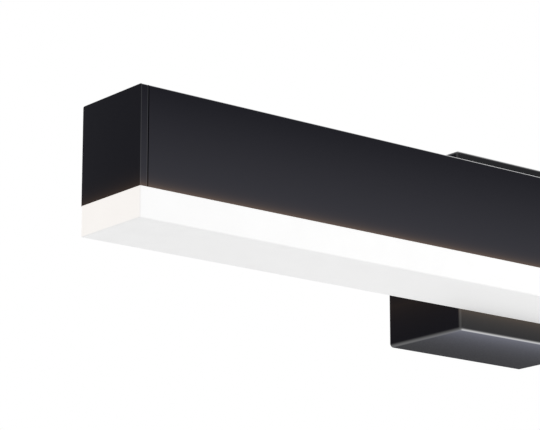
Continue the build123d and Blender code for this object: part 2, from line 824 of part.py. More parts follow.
# Terminal block: one pole per supply conductor, with two screw wells and two lead entries each
with BuildPart() as terminal_block:
    with BuildSketch(Plane.XZ.offset(-inside_y)):
        with Locations((terminal_x, terminal_z)):
            Rectangle(terminal_length, terminal_height)
    extrude(amount=-terminal_base)
    with BuildSketch(Plane.XZ.offset(-(inside_y + terminal_base))):
        with Locations(*[(x, terminal_z) for x in pole_places]):
            Rectangle(pole_width - 2 * terminal_edge, terminal_height - 2 * terminal_edge)
    extrude(amount=-terminal_pole_rise)
    with BuildSketch(Plane.XZ.offset(-(inside_y + terminal_base + terminal_pole_rise))):
        with Locations(*[(x, terminal_z) for x in pole_places]):
            with GridLocations(0, terminal_well_spacing, 1, 2):
                Circle(terminal_well_radius)
    extrude(amount=terminal_well_depth, mode=Mode.SUBTRACT)
    with BuildSketch(
        Plane.XY.offset(terminal_bottom),
        Plane.XY.offset(terminal_bottom + terminal_height - terminal_entry_depth),
    ):
        with Locations(*[(x, terminal_lead_y) for x in pole_places]):
            Circle(terminal_entry_radius)
    extrude(amount=terminal_entry_depth, mode=Mode.SUBTRACT)
    with BuildSketch(Plane.XZ.offset(-inside_y)):
        with Locations((terminal_x, terminal_z)):
            with GridLocations(pole_pitch, 0, pole_count - 1, 1):
                Circle(stud_radius + screw_fit)
    extrude(amount=-terminal_base, mode=Mode.SUBTRACT)
terminal_block.part.label = "terminal_block"
export_step(terminal_block.part, "parts/terminal_block.step")

well_floor_y = inside_y + terminal_base + terminal_pole_rise - terminal_well_depth
with BuildPart() as terminal_screws:
    with BuildSketch(Plane.XZ.offset(-well_floor_y)):
        with Locations(*[(x, terminal_z) for x in pole_places]):
            with GridLocations(0, terminal_well_spacing, 1, 2):
                Circle(terminal_screw_radius)
    extrude(amount=-terminal_screw_height)
    with BuildSketch(Plane.XZ.offset(-(well_floor_y + terminal_screw_height))):
        with Locations(*[(x, terminal_z) for x in pole_places]):
            with GridLocations(0, terminal_well_spacing, 1, 2):
                Rectangle(2 * terminal_screw_radius, recess_width)
    extrude(amount=recess_depth, mode=Mode.SUBTRACT)
terminal_screws.part.label = "terminal_screws"
export_step(terminal_screws.part, "parts/terminal_screws.step")

# Studs welded inside the canopy, with their nuts
with BuildPart() as weld_studs:
    for x, z, seat in stud_seats:
        with BuildSketch(Plane.XZ.offset(-inside_y)):
            with Locations((x, z)):
                Circle(stud_radius)
        extrude(amount=-(seat + stud_nut_thickness + stud_overhang))
weld_studs.part.label = "weld_studs"
export_step(weld_studs.part, "parts/weld_studs.step")

stud_nut = hex_nut(stud_nut_flats, stud_radius + thread_fit, stud_nut_thickness)
with BuildPart() as stud_nuts:
    with Locations(
        *[Plane((x, inside_y + seat, z), x_dir=(1, 0, 0), z_dir=(0, 1, 0)) for x, z, seat in stud_seats]
    ):
        add(stud_nut)
stud_nuts.part.label = "stud_nuts"
export_step(stud_nuts.part, "parts/stud_nuts.step")

# Earth terminal: a flat ring under a stud nut, with an open barrel that points to the terminal block
barrel_x = earth_x - ring_radius - barrel_neck
barrel_y = inside_y + barrel_radius
with BuildPart() as earth_ring_terminal:
    with BuildSketch(Plane.XZ.offset(-inside_y)):
        with Locations((earth_x, earth_z)):
            Circle(ring_radius)
        with Locations((barrel_x, earth_z)):
            Rectangle(ring_radius + barrel_neck, 2 * barrel_radius, align=(Align.MIN, Align.CENTER))
        with Locations((earth_x, earth_z)):
            Circle(stud_radius + screw_fit, mode=Mode.SUBTRACT)
    extrude(amount=-ring_thickness)
    with BuildSketch(Plane.YZ.offset(barrel_x)):
        with Locations((barrel_y, earth_z)):
            Circle(barrel_radius)
    extrude(amount=-barrel_length)
    with BuildSketch(Plane.YZ.offset(barrel_x - barrel_length)):
        with Locations((barrel_y, earth_z)):
            Circle(lead_entry_radius)
    extrude(amount=lead_entry_depth, mode=Mode.SUBTRACT)
earth_ring_terminal.part.label = "earth_ring_terminal"
export_step(earth_ring_terminal.part, "parts/earth_ring_terminal.step")

# Leads inside the object, each from the floor of one entry to the floor of another
driver_seat_x = driver_end_x - lead_entry_depth
board_seat_x = connector_start + lead_entry_depth
terminal_seat_z = terminal_bottom + terminal_entry_depth
nipple_x = nipple_spacing / 2
outer_run_x = canopy_width / 2 - canopy_sheet - side_run_gap
inner_run_x = outer_run_x - side_run_spacing
barrel_seat_x = barrel_x - barrel_length + lead_entry_depth
routes = {
    "line_lead": [
        (pole_places[0], terminal_lead_y, terminal_seat_z),
        (pole_places[0], terminal_lead_y, 21),
        (-30, -52, 6),
        (8 - inner_run_x, -50, -7),
        (-inner_run_x, -54, -20),
        (-inner_run_x, driver_lead_y, upper_exit_z),
        (-driver_seat_x, driver_lead_y, upper_exit_z),
    ],
    "neutral_lead": [
        (pole_places[1], terminal_lead_y, terminal_seat_z),
        (pole_places[1], terminal_lead_y, 17),
        (-20, -50, 1),
        (14 - outer_run_x, -45, -12),
        (-outer_run_x, -51, -25),
        (-outer_run_x, driver_lead_y, lower_exit_z),
        (-driver_seat_x, driver_lead_y, lower_exit_z),
    ],
    "earth_lead": [
        (barrel_seat_x, barrel_y, earth_z),
        (24, barrel_y, earth_z),
        (23, barrel_y + 3, 28),
        (19, terminal_lead_y, 18),
        (10, terminal_lead_y, 17),
        (pole_places[2], terminal_lead_y, 25),
        (pole_places[2], terminal_lead_y, terminal_seat_z),
    ],
    "positive_lead": [
        (driver_seat_x, driver_lead_y, upper_exit_z),
        (inner_run_x, driver_lead_y, upper_exit_z),
        (inner_run_x, -52, -18),
        (inner_run_x - 2, -46, -5),
        (inner_run_x - 9, -42, 4.5),
        (nipple_x, -42, nipple_z + lead_gap),
        (nipple_x, -90, nipple_z + lead_gap),
        (12, -98, 5.5),
        (-lead_gap, lead_y, 0),
        (-lead_gap, lead_y, -19),
        (-9, lead_y, -22.5),
        (-18, lead_y, lead_z),
        (-board_seat_x, lead_y, lead_z),
    ],
    "negative_lead": [
        (driver_seat_x, driver_lead_y, lower_exit_z),
        (outer_run_x, driver_lead_y, lower_exit_z),
        (outer_run_x, -51, -22),
        (outer_run_x - 1.5, -43, -7),
        (outer_run_x - 10.5, -37, 2),
        (nipple_x, -37, nipple_z - lead_gap),
        (nipple_x, -94, nipple_z - lead_gap),
        (16, -101, 3),
        (lead_gap, lead_y, -1),
        (lead_gap, lead_y, -19),
        (9, lead_y, -22.5),
        (18, lead_y, lead_z),
        (board_seat_x, lead_y, lead_z),
    ],
    "link_lead": [
        (-board_seat_x, link_y, lead_z),
        (-17, link_y, lead_z),
        (-7, link_y, lead_z - 3),
        (7, link_y, lead_z - 3),
        (17, link_y, lead_z),
        (board_seat_x, link_y, lead_z),
    ],
}
for lead_name, points in routes.items():
    lead = insulated_lead(lead_name, points)
    lead.label = lead_name
    export_step(lead, f"parts/{lead_name}.step")
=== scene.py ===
"""Looks of a wall-mounted vanity light bar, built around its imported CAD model.

The CAD nodes keep their shapes and get procedural finishes. Leads, screws, LED packages and
threaded pieces are replaced by finer ones in the same places. Sizes are in millimetres and turned
to metres where a mesh or a pattern is made.
"""

from __future__ import annotations

import json
import logging
import math
from dataclasses import dataclass, replace
from enum import Enum

import bmesh
import bpy
from bpy.types import ID, Material, Node, NodeSocket, NodeTree, Object
from mathutils import Matrix, Vector

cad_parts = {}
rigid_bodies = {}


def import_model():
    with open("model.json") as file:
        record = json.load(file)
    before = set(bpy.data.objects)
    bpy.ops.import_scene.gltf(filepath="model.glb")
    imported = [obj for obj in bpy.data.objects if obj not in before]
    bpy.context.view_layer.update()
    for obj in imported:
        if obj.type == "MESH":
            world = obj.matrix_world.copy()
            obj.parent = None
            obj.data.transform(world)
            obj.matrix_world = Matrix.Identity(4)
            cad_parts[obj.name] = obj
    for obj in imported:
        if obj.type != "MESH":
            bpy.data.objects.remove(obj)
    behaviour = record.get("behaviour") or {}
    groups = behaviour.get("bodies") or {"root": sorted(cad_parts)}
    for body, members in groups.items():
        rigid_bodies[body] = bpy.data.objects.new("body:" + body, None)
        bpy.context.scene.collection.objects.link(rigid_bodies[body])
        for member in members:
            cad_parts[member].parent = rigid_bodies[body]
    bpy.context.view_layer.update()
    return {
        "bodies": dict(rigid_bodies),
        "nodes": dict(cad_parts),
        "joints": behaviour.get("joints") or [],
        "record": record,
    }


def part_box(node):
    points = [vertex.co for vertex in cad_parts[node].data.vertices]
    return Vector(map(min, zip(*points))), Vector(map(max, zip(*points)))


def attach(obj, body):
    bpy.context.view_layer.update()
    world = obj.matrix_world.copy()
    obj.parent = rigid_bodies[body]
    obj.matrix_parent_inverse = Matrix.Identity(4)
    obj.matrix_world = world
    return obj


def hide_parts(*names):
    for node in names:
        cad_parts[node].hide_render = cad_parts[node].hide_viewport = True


MM = 0.001
UM = 0.000001
LOG = logging.getLogger("light_bar")

Point = tuple[float, float, float]
Outline = tuple[tuple[float, float], ...]
Seat = tuple[Vector, Vector]

# Node kinds that are used often.
MATH, VECTOR, RANGE = "ShaderNodeMath", "ShaderNodeVectorMath", "ShaderNodeMapRange"
# The colour sockets of a Mix node, which share their names with its other sockets.
MIX_A, MIX_B, MIX_RESULT = 6, 7, 2
# Edges of new pieces that turn by more than this stay crisp.
CRISP_DEGREES = 32.0

SIDES = (-1, 1)
UP, DOWN = Vector((0, 0, 1)), Vector((0, 0, -1))
TO_WALL, TO_ROOM = Vector((0, 1, 0)), Vector((0, -1, 0))
ALONG = Vector((1, 0, 0))


class Body(Enum):
    """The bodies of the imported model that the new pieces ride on."""

    WALL = "wall_fixing"
    LIGHT = "light"


class Grain(Enum):
    """The kinds of fine relief that a surface can have."""

    ORANGE_PEEL = "orange_peel"
    SPARK = "spark"
    DRAWN = "drawn"


class Facing(Enum):
    """The ways a face can look, for painted light that only some faces get."""

    FRONT = "front"
    ASIDE = "aside"
    UNDER = "under"
    ENDS = "ends"


def linear(code: str) -> tuple[float, float, float, float]:
    """Turns an sRGB hex colour to linear.

    Args:
        code: Six hex digits after a hash sign.

    Returns:
        Red, green, blue and an alpha of one.
    """
    parts = [int(code[i : i + 2], 16) / 255 for i in (1, 3, 5)]
    red, green, blue = (p / 12.92 if p <= 0.04045 else ((p + 0.055) / 1.055) ** 2.4 for p in parts)
    return red, green, blue, 1.0


def per_metre(size_mm: float) -> float:
    """The texture scale at which one feature measures size_mm on Object coordinates."""
    return 1.0 / (size_mm * MM)


def fill(node: Node, inputs: dict) -> None:
    """Sets or links inputs of a node.

    Args:
        node: The node.
        inputs: By name or number of the input, a value, a socket, or a node for its first output.
    """
    for key, value in inputs.items():
        source = value.outputs[0] if isinstance(value, Node) else value
        if isinstance(source, NodeSocket):
            node.id_data.links.new(source, node.inputs[key])
        else:
            node.inputs[key].default_value = source


def add_node(tree: NodeTree, kind: str, inputs: dict | None = None, **settings: object) -> Node:
    """Adds a node, with its settings, values and links.

    Args:
        tree: The node tree to add to.
        kind: The node's type name.
        inputs: What its inputs are filled with.
        **settings: Properties of the node itself.

    Returns:
        The new node.
    """
    node = tree.nodes.new(kind)
    for key, value in settings.items():
        setattr(node, key, value)
    fill(node, inputs or {})
    return node


def chain(tree: NodeTree, kind: str, start: object, *steps: tuple) -> Node:
    """Adds a row of nodes of one kind, each of which works on the result of the one before.

    Args:
        tree: The node tree to add to.
        kind: Their type name.
        start: What the first one works on.
        *steps: The operation of each one, and what else it takes in.

    Returns:
        The last node.
    """
    for operation, *others in steps:
        start = add_node(tree, kind, dict(enumerate((start, *others))), operation=operation)
    return start


def empty_tree(owner: ID) -> NodeTree:
    """Gives a material or world an empty node tree.

    Args:
        owner: The material or world.

    Returns:
        Its tree.
    """
    owner.use_nodes = True
    owner.node_tree.nodes.clear()
    return owner.node_tree


@dataclass(frozen=True)
class Surface:
    """A material in the making: its tree and shader, and the places and normals of its object."""

    tree: NodeTree
    shader: Node
    place: NodeSocket
    facing: NodeSocket


@dataclass(frozen=True)
class Finish:
    """A surface finish: colour with mottling, roughness that varies, and a fine relief."""

    name: str
    colour: str
    mottle: str
    mottle_mm: float
    roughness: float
    spread: float
    relief_mm: float
    relief_um: float
    metallic: float = 0.0
    specular: float = 0.5
    grain: Grain = Grain.ORANGE_PEEL

    # Noise mostly stays within this range. Drawn lines are 50 times as long as wide.
    CLOUD_RANGE = (0.3, 0.7)
    CLOUD_DETAIL = 3.0
    RELIEF_DETAIL = 2.0
    DRAWN_SCALE = (0.02, 1.0, 1.0)

    def material(self) -> Material:
        """Gives the finish's material, built the first time it is asked for.

        Returns:
            The Blender material.
        """
        made = bpy.data.materials.get(self.name)
        if made:
            return made
        made = bpy.data.materials.new(self.name)
        made.diffuse_color = linear(self.colour)
        tree = empty_tree(made)
        inputs = {"Metallic": self.metallic, "Specular IOR Level": self.specular}
        shader = add_node(tree, "ShaderNodeBsdfPrincipled", inputs)
        spot = add_node(tree, "ShaderNodeTexCoord").outputs
        self.paint(Surface(tree, shader, spot["Object"], spot["Normal"]))
        add_node(tree, "ShaderNodeOutputMaterial", {"Surface": shader})
        return made

    def paint(self, on: Surface) -> None:
        """Links colour, roughness and relief to the shader.

        Args:
            on: The material in the making.
        """
        place = on.place
        if self.grain is Grain.DRAWN:
            stretch = {"Vector": place, "Scale": self.DRAWN_SCALE}
            place = add_node(on.tree, "ShaderNodeMapping", stretch)
        cloud = {"Vector": place, "Scale": per_metre(self.mottle_mm), "Detail": self.CLOUD_DETAIL}
        self.shade(on, add_node(on.tree, "ShaderNodeTexNoise", cloud), *self.CLOUD_RANGE)
        relief = {"Vector": place, "Scale": per_metre(self.relief_mm)}
        if self.grain is Grain.SPARK:
            height = add_node(on.tree, "ShaderNodeTexVoronoi", relief)
        else:
            relief["Detail"] = self.RELIEF_DETAIL
            height = add_node(on.tree, "ShaderNodeTexNoise", relief)
        bump = {"Height": height, "Strength": 1.0, "Distance": self.relief_um * UM}
        fill(on.shader, {"Normal": add_node(on.tree, "ShaderNodeBump", bump)})

    def shade(self, on: Surface, pattern: Node, low: float = 0.0, high: float = 1.0) -> None:
        """Lets a pattern vary the colour and the roughness.

        Args:
            on: The material in the making.
            pattern: The node whose first output is the pattern.
            low: The pattern's value where the surface is smoothest.
            high: Its value where the surface is roughest.
        """
        tones = {"Factor": pattern, MIX_A: linear(self.colour), MIX_B: linear(self.mottle)}
        tint = add_node(on.tree, "ShaderNodeMix", tones, data_type="RGBA").outputs[MIX_RESULT]
        limits = {
            "Value": pattern,
            "From Min": low,
            "From Max": high,
            "To Min": self.roughness - self.spread,
            "To Max": self.roughness + self.spread,
        }
        fill(on.shader, {"Base Color": tint, "Roughness": add_node(on.tree, RANGE, limits)})


@dataclass(frozen=True)
class PaintedGlow:
    """Painted glow on some faces, strongest on a plane and fading on both sides of it."""

    facing: Facing
    axis: str
    plane_mm: float
    reach_mm: float
    strength: float
    colour: str


@dataclass(frozen=True)
class PaintedBendHighlight:
    """Painted highlight on a bend between faces of two axes, strongest near the second's face."""

    minor: str
    major: str
    strength: float
    power: float

    # The product of one part of a unit normal and the square of another is at most this.
    MOST = 2.0 / math.sqrt(27.0)


@dataclass(frozen=True)
class PaintedLightCoat(Finish):
    """A black powder coat beside the lit trough, with painted glow and highlights in emission."""

    middle_mm: Point = (0.0, 0.0, 0.0)
    walled_axes: Point = (1.0, 1.0, 1.0)
    inside_mm: float = 5.0
    edge_z_mm: float = 0.0
    sweep_mm: float = 58.0
    sweep_strength: float = 0.03
    front_strength: float = 0.0
    sweep_colour: str = "#ffffff"
    front_turn: float = 0.3
    flat_turn: float = 0.7
    painted_glows: tuple[PaintedGlow, ...] = ()
    painted_bends: tuple[PaintedBendHighlight, ...] = ()

    def paint(self, on: Surface) -> None:
        """Adds the painted glow, the painted sweep and the painted highlights to the plain coat,
        as emission.

        Args:
            on: The material in the making.
        """
        super().paint(on)
        shares = self.shares(on)
        lights = [(glow.colour, self.fade(on, glow, shares[glow.facing])) for glow in self.painted_glows]
        # Painted sweep of light on the front, and painted white highlights on bends.
        lights.append((self.sweep_colour, self.sweep(on, shares[Facing.FRONT])))
        lights.append(("#ffffff", self.painted_bend_highlight(on)))
        total: Node | Point = (0.0, 0.0, 0.0)
        for colour, strength in lights:
            inputs = {0: linear(colour)[:3], "Scale": strength}
            light = add_node(on.tree, VECTOR, inputs, operation="SCALE")
            total = chain(on.tree, VECTOR, total, ("ADD", light))
        inputs = {0: total, "Scale": self.outside(on)}
        total = add_node(on.tree, VECTOR, inputs, operation="SCALE")
        # All the painted light goes in as emission.
        fill(on.shader, {"Emission Color": total, "Emission Strength": 1.0})

    def shares(self, on: Surface) -> dict[Facing, Node]:
        """Gives the shares by which a face looks each way.

        Args:
            on: The material in the making.

        Returns:
            A node for each way.
        """
        sides = chain(on.tree, VECTOR, on.facing, ("ABSOLUTE",))
        found = {}
        for way, normal, direction, none, full in (
            (Facing.FRONT, on.facing, TO_ROOM, 0.0, self.front_turn),
            (Facing.UNDER, on.facing, DOWN, self.flat_turn, 1.0),
            (Facing.ENDS, sides, ALONG, self.flat_turn, 1.0),
        ):
            look = chain(on.tree, VECTOR, normal, ("DOT_PRODUCT", direction)).outputs["Value"]
            inputs = {"Value": look, "From Min": none, "From Max": full}
            found[way] = add_node(on.tree, RANGE, inputs)
        found[Facing.ASIDE] = chain(on.tree, MATH, 1.0, ("SUBTRACT", found[Facing.FRONT]))
        return found

    def away(self, on: Surface, axis: str, plane_mm: float) -> Node:
        """Gives the distance from a plane across an axis, in metres."""
        along = add_node(on.tree, "ShaderNodeSeparateXYZ", {"Vector": on.place}).outputs[axis]
        return chain(on.tree, MATH, along, ("SUBTRACT", plane_mm * MM), ("ABSOLUTE",))

    def fade(self, on: Surface, glow: PaintedGlow, share: Node) -> Node:
        """Gives the strength of a painted glow, which falls by a factor of e with each reach.

        Args:
            on: The material in the making.
            glow: The painted glow.
            share: The share by which a face looks its way.

        Returns:
            The node of the strength.
        """
        return chain(
            on.tree,
            MATH,
            self.away(on, glow.axis, glow.plane_mm),
            ("MULTIPLY", -per_metre(glow.reach_mm)),
            ("EXPONENT",),
            ("MULTIPLY", share),
            ("MULTIPLY", glow.strength),
        )

    def sweep(self, on: Surface, front: Node) -> Node:
        """Gives the strength of the painted light on the front, evenly less away from the lit
        trough.

        Args:
            on: The material in the making.
            front: The share by which a face looks forward.

        Returns:
            The node of the strength.
        """
        inputs = {
            "Value": self.away(on, "Z", self.edge_z_mm),
            "From Max": self.sweep_mm * MM,
            "To Min": self.sweep_strength + self.front_strength,
            "To Max": self.front_strength,
        }
        return chain(on.tree, MATH, add_node(on.tree, RANGE, inputs), ("MULTIPLY", front))

    def painted_bend_highlight(self, on: Surface) -> Node | float:
        """Gives the strength of the painted highlights on bends and eased edges that face the
        room.

        Args:
            on: The material in the making.

        Returns:
            The node of the strength.
        """
        normal = add_node(on.tree, "ShaderNodeSeparateXYZ", {"Vector": on.facing}).outputs
        turn = {
            "X": chain(on.tree, MATH, normal["X"], ("ABSOLUTE",)),
            "Y": chain(on.tree, MATH, normal["Y"], ("MULTIPLY", -1.0), ("MAXIMUM", 0.0)),
            "Z": chain(on.tree, MATH, normal["Z"], ("ABSOLUTE",)),
        }
        total: Node | float = 0.0
        for bend in self.painted_bends:
            total = chain(
                on.tree,
                MATH,
                turn[bend.minor],
                ("MULTIPLY", turn[bend.major]),
                ("MULTIPLY", turn[bend.major]),
                ("POWER", bend.power),
                ("MULTIPLY", bend.strength / bend.MOST**bend.power),
                ("ADD", total),
            )
        return total

    def outside(self, on: Surface) -> Node:
        """Gives one where a face looks away from the middle of the piece, and none inside it.

        Args:
            on: The material in the making.

        Returns:
            The node of the share.
        """
        middle = [size * MM for size in self.middle_mm]
        steps = ("SUBTRACT", middle), ("MULTIPLY", self.walled_axes), ("DOT_PRODUCT", on.facing)
        arm = chain(on.tree, VECTOR, on.place, *steps).outputs["Value"]
        return chain(on.tree, MATH, arm, ("GREATER_THAN", -self.inside_mm * MM))


@dataclass(frozen=True)
class LitOpal(Finish):
    """Opal acrylic lit from inside: even, brightest in front, a little warmer at the ends."""

    front: str = "#b8b9bb"
    end: str = "#c1bdba"
    under: str = "#a5a6a8"
    strength: float = 1.0

    def paint(self, on: Surface) -> None:
        """Adds the light that comes through each side of the trough.

        Args:
            on: The material in the making.
        """
        super().paint(on)
        square = chain(on.tree, VECTOR, on.facing, ("MULTIPLY", on.facing))
        share = add_node(on.tree, "ShaderNodeSeparateXYZ", {"Vector": square}).outputs
        light: NodeSocket | tuple = linear(self.front)
        for axis, colour in (("X", self.end), ("Z", self.under)):
            tones = {"Factor": share[axis], MIX_A: light, MIX_B: linear(colour)}
            light = add_node(on.tree, "ShaderNodeMix", tones, data_type="RGBA").outputs[MIX_RESULT]
        fill(on.shader, {"Emission Color": light, "Emission Strength": self.strength})


@dataclass(frozen=True)
class LitPhosphor(Finish):
    """Yellow phosphor in a clear silicone, which shines almost white when it is lit."""

    light: str = "#fff2d8"
    strength: float = 1.2

    def paint(self, on: Surface) -> None:
        """Adds the light of the phosphor."""
        super().paint(on)
        fill(on.shader, {"Emission Color": linear(self.light), "Emission Strength": self.strength})


@dataclass(frozen=True)
class SpangledZinc(Finish):
    """Hot-dip galvanised sheet: flat crystals of zinc, each a little lighter or darker."""

    spangle_mm: float = 5.0

    def paint(self, on: Surface) -> None:
        """Adds the crystal pattern over the plain metal.

        Args:
            on: The material in the making.
        """
        super().paint(on)
        inputs = {"Vector": on.place, "Scale": per_metre(self.spangle_mm)}
        crystal = add_node(on.tree, "ShaderNodeTexVoronoi", inputs).outputs["Color"]
        self.shade(on, add_node(on.tree, "ShaderNodeSeparateColor", {"Color": crystal}))


# Colours of painted light: a painted glow of the trough near its edge, painted light of the room
# on each front, and painted light of the room from below.
WARM, COOL, NEUTRAL, COLD = "#ffcb94", "#f1f0ff", "#f2f3ed", "#e0e4fd"

# Baked polyester powder coat: satin black with a very fine texture. The real grain is about 0.3 mm
# and would not show in the render, so it is drawn at 0.9 mm.
BAR_COAT = PaintedLightCoat(
    "powder_coat_black_bar", "#13131c", "#16161f",
    mottle_mm=0.9, roughness=0.5, spread=0.05, relief_mm=0.9, relief_um=14.0, specular=0.035,
    # Painted light, as emission: a painted warm glow along the trough's edge, a painted cool sweep
    # on the front, painted light on the ends, and painted highlights on bends and edges.
    middle_mm=(0.0, -98.0, 2.0),
    walled_axes=(0.0, 1.0, 1.0),
    edge_z_mm=-28.0,
    sweep_mm=58.0,
    sweep_strength=0.029,
    front_strength=0.006,
    sweep_colour=COOL,
    painted_glows=(
        PaintedGlow(Facing.FRONT, "Z", plane_mm=-28.0, reach_mm=2.2, strength=0.09, colour=WARM),
        PaintedGlow(Facing.ASIDE, "Z", plane_mm=-28.0, reach_mm=3.4, strength=0.028, colour=WARM),
        PaintedGlow(Facing.ENDS, "Y", plane_mm=-69.0, reach_mm=40.0, strength=0.0037, colour=COOL),
    ),
    painted_bends=(
        PaintedBendHighlight("Y", "Z", strength=0.9, power=3.0),
        PaintedBendHighlight("X", "Z", strength=0.12, power=1.0),
        PaintedBendHighlight("X", "Y", strength=0.036, power=1.0),
    ),
)
CANOPY_COAT = replace(
    BAR_COAT,
    name="powder_coat_black_canopy",
    colour="#12121b",
    mottle="#15151d",
    # Painted light, as emission: a painted warm glow near the trough, a painted neutral sweep on
    # the front, painted cold light on the underside, and painted highlights on bends.
    middle_mm=(0.0, -34.5, 0.0),
    walled_axes=(1.0, 1.0, 1.0),
    edge_z_mm=-46.5,
    sweep_mm=25.0,
    sweep_strength=0.03,
    front_strength=0.012,
    sweep_colour=NEUTRAL,
    painted_glows=(
        PaintedGlow(Facing.FRONT, "Z", plane_mm=-46.5, reach_mm=4.0, strength=0.036, colour=WARM),
        PaintedGlow(Facing.ASIDE, "Z", plane_mm=-33.0, reach_mm=11.0, strength=0.01, colour=WARM),
        PaintedGlow(Facing.UNDER, "Y", plane_mm=-69.0, reach_mm=22.0, strength=0.165, colour=COLD),
    ),
    painted_bends=(
        PaintedBendHighlight("Y", "Z", strength=0.47, power=3.0),
        PaintedBendHighlight("X", "Z", strength=0.12, power=1.0),
        PaintedBendHighlight("Y", "X", strength=0.03, power=4.0),
    ),
)
# Cast opal acrylic with a satin skin: milky, evenly lit, no lamp shows through.
OPAL = LitOpal(
    "acrylic_opal_satin", "#f2f1ee", "#eeece9",
    mottle_mm=12.0, roughness=0.45, spread=0.04, relief_mm=1.4, relief_um=2.0, specular=0.3,
)
# Hot-dip galvanised steel: grey with large flat spangles.
GALVANISED = SpangledZinc(
    "steel_galvanised", "#a9adb0", "#c3c7ca",
    mottle_mm=6.0, roughness=0.38, spread=0.1, relief_mm=1.2, relief_um=6.0, metallic=1.0,
)
# Bright zinc plate: bluish white metal with slight clouding.
ZINC = Finish(
    "steel_zinc_plated", "#c4c8cc", "#b4b9be",
    mottle_mm=2.0, roughness=0.3, spread=0.08, relief_mm=0.5, relief_um=2.0, metallic=1.0,
)
# Black oxide on steel: dark grey metal with a dull oiled sheen.
BLACK_OXIDE = Finish(
    "steel_black_oxide", "#26262a", "#323238",
    mottle_mm=1.2, roughness=0.42, spread=0.08, relief_mm=0.4, relief_um=3.0, metallic=0.6,
)
# Green dyed zinc plate of a ground screw: a metal sheen under the dye.
GREEN_ZINC = Finish(
    "steel_green_zinc", "#2f8f55", "#1f7a45",
    mottle_mm=1.5, roughness=0.36, spread=0.08, relief_mm=0.5, relief_um=3.0, metallic=0.7,
)
# Tempered spring steel: bright with a straw cast and fine rolling lines.
SPRING = Finish(
    "steel_spring_rolled", "#b9b6ae", "#a7a49c",
    mottle_mm=0.8, roughness=0.28, spread=0.06, relief_mm=0.4, relief_um=2.0, metallic=1.0,
    grain=Grain.DRAWN,
)
# Mill-finish aluminium strip: soft grey with lines along the rolling direction.
ALUMINIUM = Finish(
    "aluminium_mill_finish", "#cfd1d2", "#bfc2c4",
    mottle_mm=0.7, roughness=0.4, spread=0.08, relief_mm=0.5, relief_um=3.0, metallic=1.0,
    grain=Grain.DRAWN,
)
# White solder mask over a metal-core board: smooth, glossy, slightly cool.
SOLDER_MASK = Finish(
    "solder_mask_white", "#eceeec", "#e4e6e3",
    mottle_mm=9.0, roughness=0.3, spread=0.05, relief_mm=0.8, relief_um=3.0,
)
# Moulded white polyphthalamide of the LED package: matt and slightly creamy.
LED_BODY = Finish(
    "led_package_white", "#f1efe8", "#e9e6dc",
    mottle_mm=0.8, roughness=0.4, spread=0.05, relief_mm=0.3, relief_um=1.0,
)
# Phosphor in silicone: yellow, smooth and lit.
PHOSPHOR = LitPhosphor(
    "led_phosphor_lit", "#f3d98a", "#ecd07a",
    mottle_mm=0.4, roughness=0.25, spread=0.05, relief_mm=0.2, relief_um=1.0,
)
# Moulded polyamide, natural white: matt with a faint spark-eroded texture.
NYLON_WHITE = Finish(
    "polyamide_white_moulded", "#dedcd3", "#d3d0c6",
    mottle_mm=5.0, roughness=0.48, spread=0.05, relief_mm=0.35, relief_um=6.0, grain=Grain.SPARK,
)
# Moulded polycarbonate of the driver case: pale grey, fine spark texture.
POLYCARBONATE = Finish(
    "polycarbonate_driver_grey", "#d6d8d8", "#cccfcf",
    mottle_mm=6.0, roughness=0.44, spread=0.05, relief_mm=0.5, relief_um=10.0, grain=Grain.SPARK,
)
# Moulded polyamide, black: the same texture with a soft sheen.
NYLON_BLACK = Finish(
    "polyamide_black_moulded", "#1c1c1d", "#242425",
    mottle_mm=2.0, roughness=0.46, spread=0.05, relief_mm=0.3, relief_um=5.0, grain=Grain.SPARK,
)
# Moulded chloroprene rubber: dead black with a dull bloom.
RUBBER = Finish(
    "rubber_black_moulded", "#151515", "#202020",
    mottle_mm=2.0, roughness=0.7, spread=0.06, relief_mm=0.4, relief_um=6.0,
)
# Nickel-plated brass of terminal screws: pale gold, bright.
NICKEL_BRASS = Finish(
    "brass_nickel_plated", "#cbb98a", "#bda873",
    mottle_mm=1.0, roughness=0.27, spread=0.06, relief_mm=0.4, relief_um=2.0, metallic=1.0,
)
# Tinned copper: soft bright grey.
TINNED_COPPER = Finish(
    "copper_tinned", "#c9c5bd", "#b7b2a8",
    mottle_mm=1.2, roughness=0.33, spread=0.08, relief_mm=0.4, relief_um=3.0, metallic=1.0,
)
# Extruded vinyl insulation: smooth, slightly waxy, with faint clouding.
PVC_BLACK = Finish(
    "vinyl_black_extruded", "#19191a", "#222223",
    mottle_mm=1.6, roughness=0.36, spread=0.04, relief_mm=0.6, relief_um=3.0,
)
PVC_WHITE = replace(PVC_BLACK, name="vinyl_white_extruded", colour="#e3e2dd", mottle="#d8d6cf")
PVC_GREEN = replace(PVC_BLACK, name="vinyl_green_extruded", colour="#1f7a3c", mottle="#196a33")
PVC_RED = replace(PVC_BLACK, name="vinyl_red_extruded", colour="#b02020", mottle="#9a1a1a")


def place_piece(obj: Object, body: Body, slot: str, *replaced: str) -> None:
    """Puts a finished piece on its body.

    Args:
        obj: The piece, in place.
        body: The body it rides on.
        slot: The record's material slot; not used.
        *replaced: CAD nodes that it stands for.
    """
    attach(obj, body.value)
    if replaced:
        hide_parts(*replaced)
    LOG.info("placed %s on %s", obj.name, body.value)


def new_object(name: str, data: ID) -> Object:
    """Makes an object and links it to the scene.

    Args:
        name: The object's name.
        data: Its mesh, curve, light or camera.

    Returns:
        The object.
    """
    obj = bpy.data.objects.new(name, data)
    bpy.context.scene.collection.objects.link(obj)
    return obj


def mesh_object(name: str, shape: bmesh.types.BMesh) -> Object:
    """Makes an object of a shape, and frees the shape.

    Args:
        name: The object's name.
        shape: The shape, in metres.

    Returns:
        The object.
    """
    mesh = bpy.data.meshes.new(name)
    shape.to_mesh(mesh)
    shape.free()
    return new_object(name, mesh)


